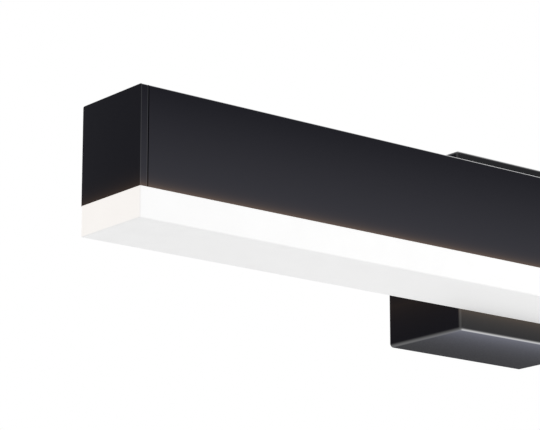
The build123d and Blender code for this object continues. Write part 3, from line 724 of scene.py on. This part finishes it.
def lathe(name: str, outline: Outline, segments: int) -> Object:
    """Turns an outline about Z into a closed mesh.

    Args:
        name: The object's name.
        outline: Radius and height of each point, in millimetres, from bottom axis to top axis, or
            round the section of a tube.
        segments: Steps round the axis.

    Returns:
        The turned object.
    """
    shape = bmesh.new()
    rings = []
    for radius, height in outline:
        across = radius * MM
        turns = [math.tau * step / segments for step in range(segments if radius > 0 else 1)]
        spots = [(across * math.cos(turn), across * math.sin(turn), height * MM) for turn in turns]
        rings.append([shape.verts.new(spot) for spot in spots])
    if outline[0][0] > 0:
        rings.append(rings[0])
    for low, high in zip(rings, rings[1:]):
        for step in range(segments):
            here, after = ([ring[i % len(ring)] for ring in (low, high)] for i in (step, step + 1))
            face = list(dict.fromkeys((here[0], after[0], after[1], here[1])))
            if len(face) > 2:
                shape.faces.new(face)
    bmesh.ops.recalc_face_normals(shape, faces=shape.faces)
    return mesh_object(name, shape)


def boxes(name: str, blocks: list[tuple[Vector, Vector]], edge: float = 0.0) -> Object:
    """Makes one object of several blocks, with eased edges.

    Args:
        name: The object's name.
        blocks: Centre and size of each block, in millimetres.
        edge: Width of the eased edges, in millimetres.

    Returns:
        The object.
    """
    shape = bmesh.new()
    for centre, size in blocks:
        place = Matrix.Translation(centre * MM) @ Matrix.Diagonal((*(size * MM), 1.0))
        block = bmesh.ops.create_cube(shape, size=1.0, matrix=place)
        if edge:
            rims = list({rim for vert in block["verts"] for rim in vert.link_edges})
            bmesh.ops.bevel(
                shape, geom=rims, offset=edge * MM, segments=2, profile=0.5, affect="EDGES"
            )
    return mesh_object(name, shape)


def settle(obj: Object) -> Object:
    """Turns an object's modifiers into a plain mesh with smooth rounds and crisp edges.

    Args:
        obj: The object, with its modifiers.

    Returns:
        The same object.
    """
    bpy.context.view_layer.update()
    depsgraph = bpy.context.evaluated_depsgraph_get()
    mesh = bpy.data.meshes.new_from_object(obj.evaluated_get(depsgraph), depsgraph=depsgraph)
    obj.modifiers.clear()
    mesh.name = obj.name
    obj.data = mesh
    mesh.shade_smooth()
    mesh.set_sharp_from_angle(angle=math.radians(CRISP_DEGREES))
    return obj


def cut(obj: Object, cutter: Object) -> Object:
    """Takes a cutter out of an object, and then out of the scene.

    Args:
        obj: The object to cut.
        cutter: The shape to take out of it.

    Returns:
        The cut object.
    """
    step = obj.modifiers.new("cut", "BOOLEAN")
    step.operation = "DIFFERENCE"
    step.solver = "EXACT"
    step.object = cutter
    settle(obj)
    bpy.data.objects.remove(cutter)
    return obj


class PieceTree:
    """A Geometry Nodes tree with named inputs, which ends in plain geometry of one finish."""

    def __init__(self, name: str, inputs: dict[str, str]) -> None:
        """Opens the tree.

        Args:
            name: The tree's name.
            inputs: The kind of each input of its own.
        """
        self.tree = bpy.data.node_groups.new(name, "GeometryNodeTree")
        sockets = self.tree.interface
        self.names = {}
        for label, kind in {"Geometry": "Geometry", **inputs, "Finish": "Material"}.items():
            socket = sockets.new_socket(label, in_out="INPUT", socket_type=f"NodeSocket{kind}")
            self.names[label] = socket.identifier
        sockets.new_socket("Geometry", in_out="OUTPUT", socket_type="NodeSocketGeometry")
        self.start = add_node(self.tree, "NodeGroupInput").outputs

    def close(self, geometry: Node) -> None:
        """Ends the tree.

        Args:
            geometry: The node that gives the geometry.
        """
        real = add_node(self.tree, "GeometryNodeRealizeInstances", {"Geometry": geometry})
        inputs = {"Geometry": real, "Material": self.start["Finish"]}
        finished = add_node(self.tree, "GeometryNodeSetMaterial", inputs)
        add_node(self.tree, "NodeGroupOutput", {"Geometry": finished})

    def run(self, obj: Object, finish: Finish, values: dict[str, object]) -> Object:
        """Runs the tree on an object and keeps what comes out as a plain mesh.

        Args:
            obj: The object.
            finish: The finish of what comes out.
            values: A value for each input of the tree's own.

        Returns:
            The same object.
        """
        step = obj.modifiers.new(self.tree.name, "NODES")
        step.node_group = self.tree
        for label, value in {**values, "Finish": finish.material()}.items():
            step[self.names[label]] = value
        return settle(obj)


class SeatTree(PieceTree):
    """A tree that sets a copy of one object on each seat, facing out of it."""

    # The Float sockets of a Random Value node, which share their names with its other sockets.
    LEAST, MOST, DRAWN = 2, 3, 1

    def __init__(self) -> None:
        """Builds the tree once."""
        inputs = {"Copied Object": "Object", "Largest Turn": "Float", "Seed": "Int"}
        super().__init__("copies_on_seats", inputs)
        tree, start = self.tree, self.start
        shape = add_node(tree, "GeometryNodeObjectInfo", {"Object": start["Copied Object"]})
        facing = add_node(
            tree, "GeometryNodeInputNamedAttribute", {"Name": "facing"}, data_type="FLOAT_VECTOR"
        )
        aligned = add_node(tree, "FunctionNodeAlignRotationToVector", {"Vector": facing}, axis="Z")
        inputs = {self.LEAST: 0.0, self.MOST: start["Largest Turn"], "Seed": start["Seed"]}
        turn = add_node(tree, "FunctionNodeRandomValue", inputs, data_type="FLOAT")
        inputs = {"Axis": UP, "Angle": turn.outputs[self.DRAWN]}
        spin = add_node(tree, "FunctionNodeAxisAngleToRotation", inputs)
        inputs = {"Rotation": aligned, "Rotate By": spin}
        turned = add_node(tree, "FunctionNodeRotateRotation", inputs, rotation_space="LOCAL")
        inputs = {
            "Points": start["Geometry"],
            "Instance": shape.outputs["Geometry"],
            "Rotation": turned,
        }
        self.close(add_node(tree, "GeometryNodeInstanceOnPoints", inputs))

    def copies(
        self,
        name: str,
        model: Object,
        seats: list[Seat],
        finish: Finish,
        largest_turn: float = 0.0,
        seed: int = 1,
    ) -> Object:
        """Sets copies of a model on seats, as one plain mesh, and takes the model away.

        Args:
            name: The new piece's name.
            model: The object to copy.
            seats: Place, in millimetres, and facing of each copy.
            finish: The finish of all copies.
            largest_turn: Each copy is turned about its axis by up to this many radians.
            seed: Seed of those turns.

        Returns:
            The new piece.
        """
        mesh = bpy.data.meshes.new(name)
        mesh.from_pydata([place * MM for place, _ in seats], [], [])
        facing = mesh.attributes.new("facing", "FLOAT_VECTOR", "POINT")
        for index, (_, direction) in enumerate(seats):
            facing.data[index].vector = direction
        values = {"Copied Object": model, "Largest Turn": largest_turn, "Seed": seed}
        piece = self.run(new_object(name, mesh), finish, values)
        bpy.data.objects.remove(model)
        return piece


class ThreadTree(PieceTree):
    """A tree that winds a screw thread round a blank."""

    # The ridge is a square rod on its edge, and its radius is this share of the pitch.
    RIDGE_SHARE = 0.28
    RIDGE_CORNERS = 4
    STEPS_PER_TURN = 28

    def __init__(self) -> None:
        """Builds the tree once."""
        labels = ("Core Radius", "Ridge", "Turns", "Length")
        super().__init__("wound_thread", dict.fromkeys(labels, "Float"))
        tree, start = self.tree, self.start
        inputs = {
            "Resolution": self.STEPS_PER_TURN,
            "Rotations": start["Turns"],
            "Start Radius": start["Core Radius"],
            "End Radius": start["Core Radius"],
            "Height": start["Length"],
        }
        spiral = add_node(tree, "GeometryNodeCurveSpiral", inputs)
        upright = add_node(tree, "GeometryNodeSetCurveNormal", {"Curve": spiral}, mode="Z_UP")
        inputs = {"Resolution": self.RIDGE_CORNERS, "Radius": start["Ridge"]}
        section = add_node(tree, "GeometryNodeCurvePrimitiveCircle", inputs)
        inputs = {"Curve": upright, "Profile Curve": section, "Fill Caps": True}
        ridge = add_node(tree, "GeometryNodeCurveToMesh", inputs)
        whole = add_node(tree, "GeometryNodeJoinGeometry", {"Geometry": start["Geometry"]})
        fill(whole, {"Geometry": ridge})
        self.close(whole)

    def wind(
        self, blank: Object, radius: float, pitch: float, length: float, finish: Finish
    ) -> Object:
        """Winds a thread round a blank that stands on the origin, along Z.

        Args:
            blank: The plain core.
            radius: Outer radius of the thread, in millimetres.
            pitch: Distance between its turns, in millimetres.
            length: Length of the threaded stretch, in millimetres.
            finish: The finish of the piece.

        Returns:
            The blank, now threaded.
        """
        ridge = self.RIDGE_SHARE * pitch
        values = {
            "Core Radius": (radius - ridge) * MM,
            "Ridge": ridge * MM,
            "Turns": length / pitch,
            "Length": length * MM,
        }
        return self.run(blank, finish, values)


@dataclass(frozen=True)
class ThreadedRod:
    """A threaded rod or tube that stands on Z = 0, in millimetres."""

    radius: float
    pitch: float
    depth: float
    chamfer: tuple[float, float]
    plain_length: float
    segments: int
    bore: float = 0.0

    def build(self, name: str, length: float, finish: Finish, threads: ThreadTree) -> Object:
        """Turns the core, with a chamfer at each open end, and winds the thread.

        Args:
            name: The object's name.
            length: The rod's length.
            finish: Its finish.
            threads: The tree that winds threads.

        Returns:
            The rod.
        """
        core = self.radius - self.depth
        across, along = self.chamfer
        foot = [(core - across, 0.0), (core, along)] if self.bore else [(core, 0.0)]
        head = [(core, length - along), (core - across, length)]
        outline = ((self.bore, 0.0), *foot, *head, (self.bore, length))
        blank = lathe(name, outline, self.segments)
        rod = threads.wind(blank, self.radius, self.pitch, length - self.plain_length, finish)
        for vert in rod.data.vertices:
            vert.co.z = min(max(vert.co.z, 0.0), length * MM)
        return rod


@dataclass(frozen=True)
class Screw:
    """A screw along Z, with its head standing on Z = 0, in millimetres."""

    radius: float
    length: float
    head_radius: float
    head_height: float
    recess: float = 0.8
    recess_depth: float = 1.0
    pitch: float = 0.5
    countersunk: bool = False
    slotted: bool = False

    SEGMENTS = 20
    DOME_STEPS = 6
    # The tip's share of the radius, and the heights of crest and root and the depth in pitches.
    TIP = 0.7
    CREST, ROOT, DEPTH = 0.45, 0.95, 0.3
    # The flat top's share of the head's radius, and the upright rim's share of its height.
    FLAT, RIM = 0.45, 0.35
    # Length of a slot and of a cross recess in head radii.
    SLOT, CROSS = 3.0, 1.1
    # Height and width of the eased edge round a countersunk head.
    EDGE = (0.12, 0.1)

    def shank(self, seat: float) -> list[tuple[float, float]]:
        """Gives the outline of the threaded shank.

        Args:
            seat: The height at which the head begins.

        Returns:
            Radius and height of each point, from the tip up.
        """
        outline = [(0.0, -self.length), (self.radius * self.TIP, -self.length)]
        root = self.radius - self.DEPTH * self.pitch
        count = max(2, int((self.length + seat) / self.pitch))
        for turn in range(count):
            low = -self.length + turn * (self.length + seat) / count
            outline.append((self.radius, low + self.CREST * self.pitch))
            outline.append((root, low + self.ROOT * self.pitch))
        return [*outline, (self.radius, seat)]

    def head(self) -> list[tuple[float, float]]:
        """Gives the outline of the head.

        Returns:
            Radius and height of each point, from its rim up to the axis.
        """
        if self.countersunk:
            height, width = self.EDGE
            return [(self.head_radius, -height), (self.head_radius - width, 0.0), (0.0, 0.0)]
        outline = [(self.head_radius, 0.0)]
        for step in range(self.DOME_STEPS):
            angle = math.radians(90 * step / self.DOME_STEPS)
            across = self.FLAT + (1 - self.FLAT) * math.cos(angle)
            up = self.RIM + (1 - self.RIM) * math.sin(angle)
            outline.append((self.head_radius * across, self.head_height * up))
        flat = self.head_radius * self.FLAT
        return [*outline, (flat, self.head_height), (0.0, self.head_height)]

    def build(self, name: str) -> Object:
        """Turns the shank and the head, and cuts the recess.

        Args:
            name: The object's name.

        Returns:
            The screw.
        """
        seat = self.radius - self.head_radius if self.countersunk else 0.0
        outline = (*self.shank(seat), *self.head())
        screw = lathe(name, outline, self.SEGMENTS)
        centre = UP * outline[-1][1]
        reach = self.head_radius * (self.SLOT if self.slotted else self.CROSS)
        bars = [(reach, self.recess, 2 * self.recess_depth)]
        if not self.slotted:
            bars.append((self.recess, reach, 2 * self.recess_depth))
        for index, size in enumerate(bars):
            cut(screw, boxes(f"{name}_recess_{index}", [(centre, Vector(size))]))
        return screw


@dataclass(frozen=True)
class ScrewSet:
    """Screws of one kind that stand for a CAD node, each turned by chance."""

    name: str
    node: str
    slot: str
    finish: Finish
    screw: Screw
    seed: int
    body: Body = Body.LIGHT
    largest_turn: float = math.tau

    def build(self, tree: SeatTree, seats: list[Seat]) -> None:
        """Sets the screws.

        Args:
            tree: The tree that sets copies.
            seats: Place and facing of each screw.
        """
        model = self.screw.build(f"{self.name}_model")
        piece = tree.copies(self.name, model, seats, self.finish, self.largest_turn, self.seed)
        place_piece(piece, self.body, self.slot, self.node)


@dataclass
class Assembly:
    """A sub-assembly, with the frame that it dresses and the trees that it builds with."""

    frame: dict
    seats: SeatTree
    threads: ThreadTree

    def dress(self, finish: Finish, *nodes: str) -> None:
        """Gives CAD nodes a finish.

        Args:
            finish: The finish.
            *nodes: Names of the nodes.
        """
        for node in nodes:
            mesh = self.frame["nodes"][node].data
            if not mesh.materials:
                mesh.materials.append(finish.material())
            for index in range(len(mesh.materials)):
                mesh.materials[index] = finish.material()
            LOG.info("dressed %s in %s", node, finish.name)


@dataclass
class Bar(Assembly):
    """The black extrusion and its end caps, in millimetres."""

    rear_y: float = -69.0
    cap_screw_x: float = 344.3
    cap_screws: ScrewSet = ScrewSet(
        "end_cap_screw_set",
        "end_cap_screws",
        "black_oxide",
        BLACK_OXIDE,
        Screw(radius=1.5, length=7.0, head_radius=2.75, head_height=1.8, countersunk=True),
        seed=3,
    )

    def build(self) -> None:
        """Dresses the bar and sets its end-cap screws."""
        self.dress(BAR_COAT, "housing", "left_end_cap", "right_end_cap")
        low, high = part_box("end_cap_screws")
        margin = self.cap_screws.screw.head_radius
        seats = [
            (Vector((side * self.cap_screw_x, self.rear_y, height)), TO_WALL)
            for side in SIDES
            for height in (low.z / MM + margin, high.z / MM - margin)
        ]
        self.cap_screws.build(self.seats, seats)


@dataclass
class Trough(Assembly):
    """The lit opal trough under the bar."""

    def build(self) -> None:
        """Dresses the channel and its end plates."""
        self.dress(OPAL, "diffuser", "diffuser_end_plates")


@dataclass(frozen=True)
class LedPackage:
    """A surface-mount LED that stands on Z = 0, in millimetres."""

    size: Point = (3.3, 2.8, 0.66)
    middle_z: float = 0.35
    edge: float = 0.06
    cup: Outline = ((0.0, 0.5), (1.05, 0.5), (1.2, 0.9), (0.0, 0.9))
    window: Outline = (
        (0.0, 0.46), (1.04, 0.46), (1.04, 0.52), (0.7, 0.58), (0.35, 0.61), (0.0, 0.62),
    )
    segments: int = 20
    joint_size: Point = (0.18, 2.3, 0.18)
    joint_x: float = 1.66
    joint_z: float = 0.09
    joint_edge: float = 0.05

    def build_body(self) -> Object:
        """Makes the white body, with a cup in its top."""
        body = boxes("led_body_model", [(UP * self.middle_z, Vector(self.size))], self.edge)
        return cut(body, lathe("led_cup", self.cup, self.segments))

    def build_window(self) -> Object:
        """Makes the crowned fill of the cup."""
        return lathe("led_window_model", self.window, self.segments)

    def build_solder(self) -> Object:
        """Makes the two soldered joints.

        Returns:
            The joints, as one object.
        """
        places = [Vector((side * self.joint_x, 0, self.joint_z)) for side in SIDES]
        blocks = [(place, Vector(self.joint_size)) for place in places]
        return boxes("led_solder_model", blocks, self.joint_edge)


@dataclass
class LightEngine(Assembly):
    """The tray, boards and LEDs inside the bar, in millimetres."""

    bar_y: float = -98.0
    board_z: float = -13.6
    board_x: float = 176.0
    led: LedPackage = LedPackage()
    led_pitch: float = 20.0
    led_row_spacing: float = 16.0
    led_columns: int = 17
    tray_z: float = -12.0
    clip_thickness: float = 0.5
    clip_xs: tuple[float, ...] = (-261.71, -87.24, 87.24, 261.71)
    clip_offset: float = 20.0
    board_screw_step: float = 128.0
    tray_screws: ScrewSet = ScrewSet(
        "tray_screw_set",
        "tray_screws",
        "zinc_plate",
        ZINC,
        Screw(radius=1.5, length=5.5, head_radius=2.75, head_height=1.8),
        seed=5,
    )
    board_screws: ScrewSet = ScrewSet(
        "board_screw_set",
        "board_screws",
        "zinc_plate",
        ZINC,
        Screw(radius=1.5, length=4.6, head_radius=2.75, head_height=1.8),
        seed=5,
    )

    def build_leds(self) -> None:
        """Sets the LED packages: white bodies, lit windows and solder."""
        middle = (self.led_columns - 1) / 2
        places = [
            (
                side * self.board_x + (column - middle) * self.led_pitch,
                self.bar_y + row * self.led_row_spacing / 2,
                self.board_z,
            )
            for side in SIDES
            for column in range(self.led_columns)
            for row in SIDES
        ]
        seats = [(Vector(place), DOWN) for place in places]
        for name, model, finish, slot, *replaced in (
            ("led_bodies", self.led.build_body(), LED_BODY, "white_nylon", "led_packages"),
            ("led_windows", self.led.build_window(), PHOSPHOR, "led_phosphor"),
            ("led_solder", self.led.build_solder(), TINNED_COPPER, "tinned_copper"),
        ):
            piece = self.seats.copies(name, model, seats, finish)
            place_piece(piece, Body.LIGHT, slot, *replaced)

    def build_screws(self) -> None:
        """Sets the screws of the clips and of the boards."""
        clip_z = self.tray_z - self.clip_thickness
        clip_ys = [self.bar_y + side * self.clip_offset for side in SIDES]
        tray_places = [(x, y, clip_z) for x in self.clip_xs for y in clip_ys]
        board_places = [
            (side * (self.board_x + step * self.board_screw_step), self.bar_y, self.board_z)
            for side in SIDES
            for step in (-1, 0, 1)
        ]
        self.tray_screws.build(self.seats, [(Vector(place), DOWN) for place in tray_places])
        self.board_screws.build(self.seats, [(Vector(place), DOWN) for place in board_places])

    def build(self) -> None:
        """Dresses and builds the light engine."""
        self.dress(ALUMINIUM, "led_tray")
        self.dress(RUBBER, "tray_grommet")
        self.dress(SPRING, "diffuser_clips")
        self.dress(SOLDER_MASK, "left_led_board", "right_led_board")
        self.dress(NYLON_WHITE, "board_connectors")
        self.build_leds()
        self.build_screws()


@dataclass
class Canopy(Assembly):
    """The box that carries the bar off the wall, and what clamps the two, in millimetres."""

    inside_y: float = -67.8
    nipple_x: float = 30.0
    nipple_z: float = 5.0
    nipple_end_y: float = -61.5
    nipple_length: float = 15.8
    nipple: ThreadedRod = ThreadedRod(
        radius=5.0, pitch=1.0, depth=0.45, chamfer=(0.2, 0.3),
        plain_length=0.6, segments=36, bore=3.9,
    )
    stud: ThreadedRod = ThreadedRod(
        radius=1.5, pitch=0.5, depth=0.24, chamfer=(0.3, 0.3), plain_length=0.5, segments=20
    )
    # Place across, height and length of each stud.
    studs: tuple[Point, ...] = (
        (-45.0, -37.0, 6.9),
        (45.0, -37.0, 6.9),
        (-14.5, 42.0, 13.9),
        (-1.5, 42.0, 13.9),
        (48.0, 41.0, 4.7),
    )

    def build_nipples(self) -> None:
        """Makes the two threaded nipples."""
        model = self.nipple.build("nipple_model", self.nipple_length, ZINC, self.threads)
        places = [(side * self.nipple_x, self.nipple_end_y, self.nipple_z) for side in SIDES]
        seats = [(Vector(place), TO_ROOM) for place in places]
        piece = self.seats.copies("nipple_pair", model, seats, ZINC)
        place_piece(piece, Body.LIGHT, "zinc_plate", "threaded_nipples")

    def build_studs(self) -> None:
        """Makes the threaded studs inside the canopy."""
        shape = bmesh.new()
        turn = Matrix.Rotation(-math.pi / 2, 4, "X")
        for index, (x, z, length) in enumerate(self.studs):
            stud = self.stud.build(f"stud_model_{index}", length, ZINC, self.threads)
            stud.data.transform(Matrix.Translation(Vector((x, self.inside_y, z)) * MM) @ turn)
            shape.from_mesh(stud.data)
            bpy.data.objects.remove(stud)
        piece = mesh_object("stud_set", shape)
        piece.data.materials.append(ZINC.material())
        place_piece(settle(piece), Body.LIGHT, "zinc_plate", "weld_studs")

    def build(self) -> None:
        """Dresses and builds the canopy."""
        self.dress(CANOPY_COAT, "canopy")
        self.dress(ZINC, "nipple_nuts", "lock_washers", "stud_nuts")
        self.dress(NYLON_BLACK, "nipple_bushings")
        self.dress(TINNED_COPPER, "earth_ring_terminal")
        self.build_nipples()
        self.build_studs()


@dataclass
class WallFixing(Assembly):
    """The plate on the wall and the screws that hold the canopy on it, in millimetres."""

    canopy_half: float = 60.0
    screw_gap: float = 0.1
    screw_y: float = -9.0
    screws: ScrewSet = ScrewSet(
        "canopy_screw_pair",
        "canopy_screws",
        "black_oxide",
        BLACK_OXIDE,
        Screw(radius=2.0, length=8.0, head_radius=4.0, head_height=2.6, pitch=0.7),
        seed=2,
        body=Body.WALL,
    )

    def build(self) -> None:
        """Dresses the plate and sets the canopy screws."""
        self.dress(GALVANISED, "wall_plate")
        self.dress(GREEN_ZINC, "ground_screw")
        reach = self.canopy_half + self.screw_gap
        seats = [(Vector((side * reach, self.screw_y, 0)), Vector((side, 0, 0))) for side in SIDES]
        self.screws.build(self.seats, seats)


@dataclass(frozen=True)
class Lead:
    """An insulated lead along a route of points, in millimetres."""

    node: str
    slot: str
    finish: Finish
    route: tuple[Point, ...]
    radius: float = 0.9

    CURVE_ORDER = 3
    STEPS_ALONG = 8
    STEPS_ROUND = 3

    def build(self) -> None:
        """Makes the lead as a smooth round curve."""
        name = f"{self.node}_wire"
        curve = bpy.data.curves.new(name, "CURVE")
        curve.dimensions = "3D"
        curve.bevel_depth = self.radius * MM
        curve.bevel_resolution = self.STEPS_ROUND
        curve.use_fill_caps = True
        spline = curve.splines.new("NURBS")
        spline.points.add(len(self.route) - 1)
        for point, place in zip(spline.points, self.route):
            point.co = (*(Vector(place) * MM), 1.0)
        spline.order_u = self.CURVE_ORDER
        spline.use_endpoint_u = True
        spline.resolution_u = self.STEPS_ALONG
        curve.materials.append(self.finish.material())
        place_piece(new_object(name, curve), Body.LIGHT, self.slot, self.node)


@dataclass
class Wiring(Assembly):
    """The driver, the terminal block and the leads between them, in millimetres."""

    terminal_x: float = -8.0
    terminal_z: float = 42.0
    pole_pitch: float = 13.0
    well_spacing: float = 8.5
    well_floor_y: float = -60.8
    screws: ScrewSet = ScrewSet(
        "terminal_screw_set",
        "terminal_screws",
        "nickel_brass",
        NICKEL_BRASS,
        Screw(
            radius=1.2, length=0.6, head_radius=1.9, head_height=3.0,
            recess=0.7, recess_depth=0.9, slotted=True,
        ),
        seed=4,
        largest_turn=0.6,
    )
    # The routes are those of the CAD model, from the floor of one entry to the floor of another.
    leads: tuple[Lead, ...] = (
        Lead("line_lead", "pvc_black", PVC_BLACK, (
            (-21, -62.8, 36.5), (-21, -62.8, 21), (-30, -52, 6), (-45, -50, -7),
            (-53, -54, -20), (-53, -58.8, -34), (-37, -58.8, -34),
        )),
        Lead("neutral_lead", "pvc_white", PVC_WHITE, (
            (-8, -62.8, 36.5), (-8, -62.8, 17), (-20, -50, 1), (-42.5, -45, -12),
            (-56.5, -51, -25), (-56.5, -58.8, -40), (-37, -58.8, -40),
        )),
        Lead("earth_lead", "pvc_green", PVC_GREEN, (
            (37.8, -66.1, 41), (24, -66.1, 41), (23, -63.1, 28), (19, -62.8, 18),
            (10, -62.8, 17), (5, -62.8, 25), (5, -62.8, 36.5),
        )),
        Lead("positive_lead", "pvc_red", PVC_RED, (
            (37, -58.8, -34), (53, -58.8, -34), (53, -52, -18), (51, -46, -5), (44, -42, 4.5),
            (30, -42, 6.3), (30, -90, 6.3), (12, -98, 5.5), (-1.3, -100, 0), (-1.3, -100, -19),
            (-9, -100, -22.5), (-18, -100, -15.6), (-29, -100, -15.6),
        )),
        Lead("negative_lead", "pvc_black", PVC_BLACK, (
            (37, -58.8, -40), (56.5, -58.8, -40), (56.5, -51, -22), (55, -43, -7), (46, -37, 2),
            (30, -37, 3.7), (30, -94, 3.7), (16, -101, 3), (1.3, -100, -1), (1.3, -100, -19),
            (9, -100, -22.5), (18, -100, -15.6), (29, -100, -15.6),
        )),
        Lead("link_lead", "pvc_white", PVC_WHITE, (
            (-29, -96, -15.6), (-17, -96, -15.6), (-7, -96, -18.6),
            (7, -96, -18.6), (17, -96, -15.6), (29, -96, -15.6),
        )),
    )

    def build(self) -> None:
        """Dresses and builds the wiring."""
        self.dress(POLYCARBONATE, "driver_case", "driver_cover")
        self.dress(NYLON_WHITE, "terminal_block")
        xs = [self.terminal_x + pole * self.pole_pitch for pole in (-1, 0, 1)]
        zs = [self.terminal_z + side * self.well_spacing / 2 for side in SIDES]
        seats = [(Vector((x, self.well_floor_y, z)), TO_WALL) for x in xs for z in zs]
        self.screws.build(self.seats, seats)
        for lead in self.leads:
            lead.build()


@dataclass(frozen=True)
class Lamp:
    """A soft square lamp that points at the light bar, in metres and watts."""

    name: str
    place: Point
    size: float
    power: float
    aim: Point = (-0.1, -0.1, 0.0)

    def build(self) -> None:
        """Hangs the lamp."""
        data = bpy.data.lights.new(self.name, "AREA")
        data.size = self.size
        data.energy = self.power
        lamp = new_object(self.name, data)
        lamp.location = self.place
        way = Vector(self.aim) - Vector(self.place)
        lamp.rotation_euler = way.to_track_quat("-Z", "Y").to_euler()
        lamp.visible_camera = False
        LOG.info("hung %s", self.name)


@dataclass
class Studio:
    """A pale floor, soft light and the camera, in metres and degrees."""

    floor_z: float = -6.0
    floor_half: float = 60.0
    floor_colour: str = "#f4f4f4"
    floor_glow: float = 0.8
    light_colour: str = "#ffffff"
    fill_light: float = 0.45
    camera_place: Point = (-1.15084, -1.24038, -0.41016)
    camera_pitch: float = 14.954
    camera_yaw: float = 38.57
    lens_mm: float = 169.76
    sensor_mm: float = 36.0
    clip: tuple[float, float] = (0.05, 200.0)
    lamps: tuple[Lamp, ...] = (
        Lamp("overhead_softbox", (0.3, 0.1, 1.5), size=1.2, power=12.0),
        Lamp("front_right_softbox", (1.2, -1.6, 0.5), size=0.9, power=5.0),
        Lamp("low_softbox", (0.75, -0.45, -0.95), size=0.45, power=2.0),
    )

    def seen(self, tree: NodeTree) -> Node:
        """Gives one to the eye, in reflections and through glass, and none to other light.

        Args:
            tree: The tree of a world or material.

        Returns:
            The node of the share.
        """
        path = add_node(tree, "ShaderNodeLightPath").outputs
        others = [("MAXIMUM", path[ray]) for ray in ("Is Glossy Ray", "Is Transmission Ray")]
        return chain(tree, MATH, path["Is Camera Ray"], *others)

    def build_world(self) -> None:
        """Makes a world that is white to the eye and in reflections, and a softer fill light."""
        world = bpy.data.worlds.new("studio_world")
        tree = empty_tree(world)
        inputs = {"Value": self.seen(tree), "To Min": self.fill_light, "To Max": 1.0}
        inputs = {"Color": linear(self.light_colour), "Strength": add_node(tree, RANGE, inputs)}
        sky = add_node(tree, "ShaderNodeBackground", inputs)
        add_node(tree, "ShaderNodeOutputWorld", {"Surface": sky})
        bpy.context.scene.world = world

    def build_floor(self) -> None:
        """Lays the pale floor."""
        half = self.floor_half
        corners = [(x * half, y * half) for x, y in ((-1, -1), (1, -1), (1, 1), (-1, 1))]
        mesh = bpy.data.meshes.new("studio_floor")
        mesh.from_pydata([(*corner, self.floor_z) for corner in corners], [], [(0, 1, 2, 3)])
        material = bpy.data.materials.new("studio_floor_white")
        tree = empty_tree(material)
        share = chain(tree, MATH, self.seen(tree), ("MULTIPLY", self.floor_glow))
        paint = add_node(tree, "ShaderNodeBsdfDiffuse", {"Color": linear(self.floor_colour)})
        inputs = {"Color": linear(self.light_colour), "Strength": 1.0}
        glow = add_node(tree, "ShaderNodeEmission", inputs)
        mixed = add_node(tree, "ShaderNodeMixShader", {0: share, 1: paint, 2: glow})
        add_node(tree, "ShaderNodeOutputMaterial", {"Surface": mixed})
        mesh.materials.append(material)
        new_object("studio_floor", mesh)

    def build_camera(self) -> None:
        """Sets the camera where the photograph was taken from."""
        data = bpy.data.cameras.new("camera")
        data.lens = self.lens_mm
        data.sensor_width = self.sensor_mm
        data.clip_start, data.clip_end = self.clip
        camera = new_object("camera", data)
        camera.location = self.camera_place
        pitch, yaw = math.radians(90 + self.camera_pitch), math.radians(-self.camera_yaw)
        camera.rotation_euler = (pitch, 0.0, yaw)
        bpy.context.scene.camera = camera

    def build(self) -> None:
        """Builds the whole studio."""
        self.build_world()
        self.build_floor()
        self.build_camera()
        for lamp in self.lamps:
            lamp.build()
        bpy.context.scene.view_settings.view_transform = "Standard"


def main() -> None:
    """Loads the frame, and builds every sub-assembly and the studio."""
    logging.basicConfig(level=logging.INFO, format="%(message)s")
    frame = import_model()
    seats = SeatTree()
    threads = ThreadTree()
    for assembly in (Bar, Trough, LightEngine, Canopy, WallFixing, Wiring):
        assembly(frame, seats, threads).build()
    Studio().build()


if __name__ == "__main__":
    main()
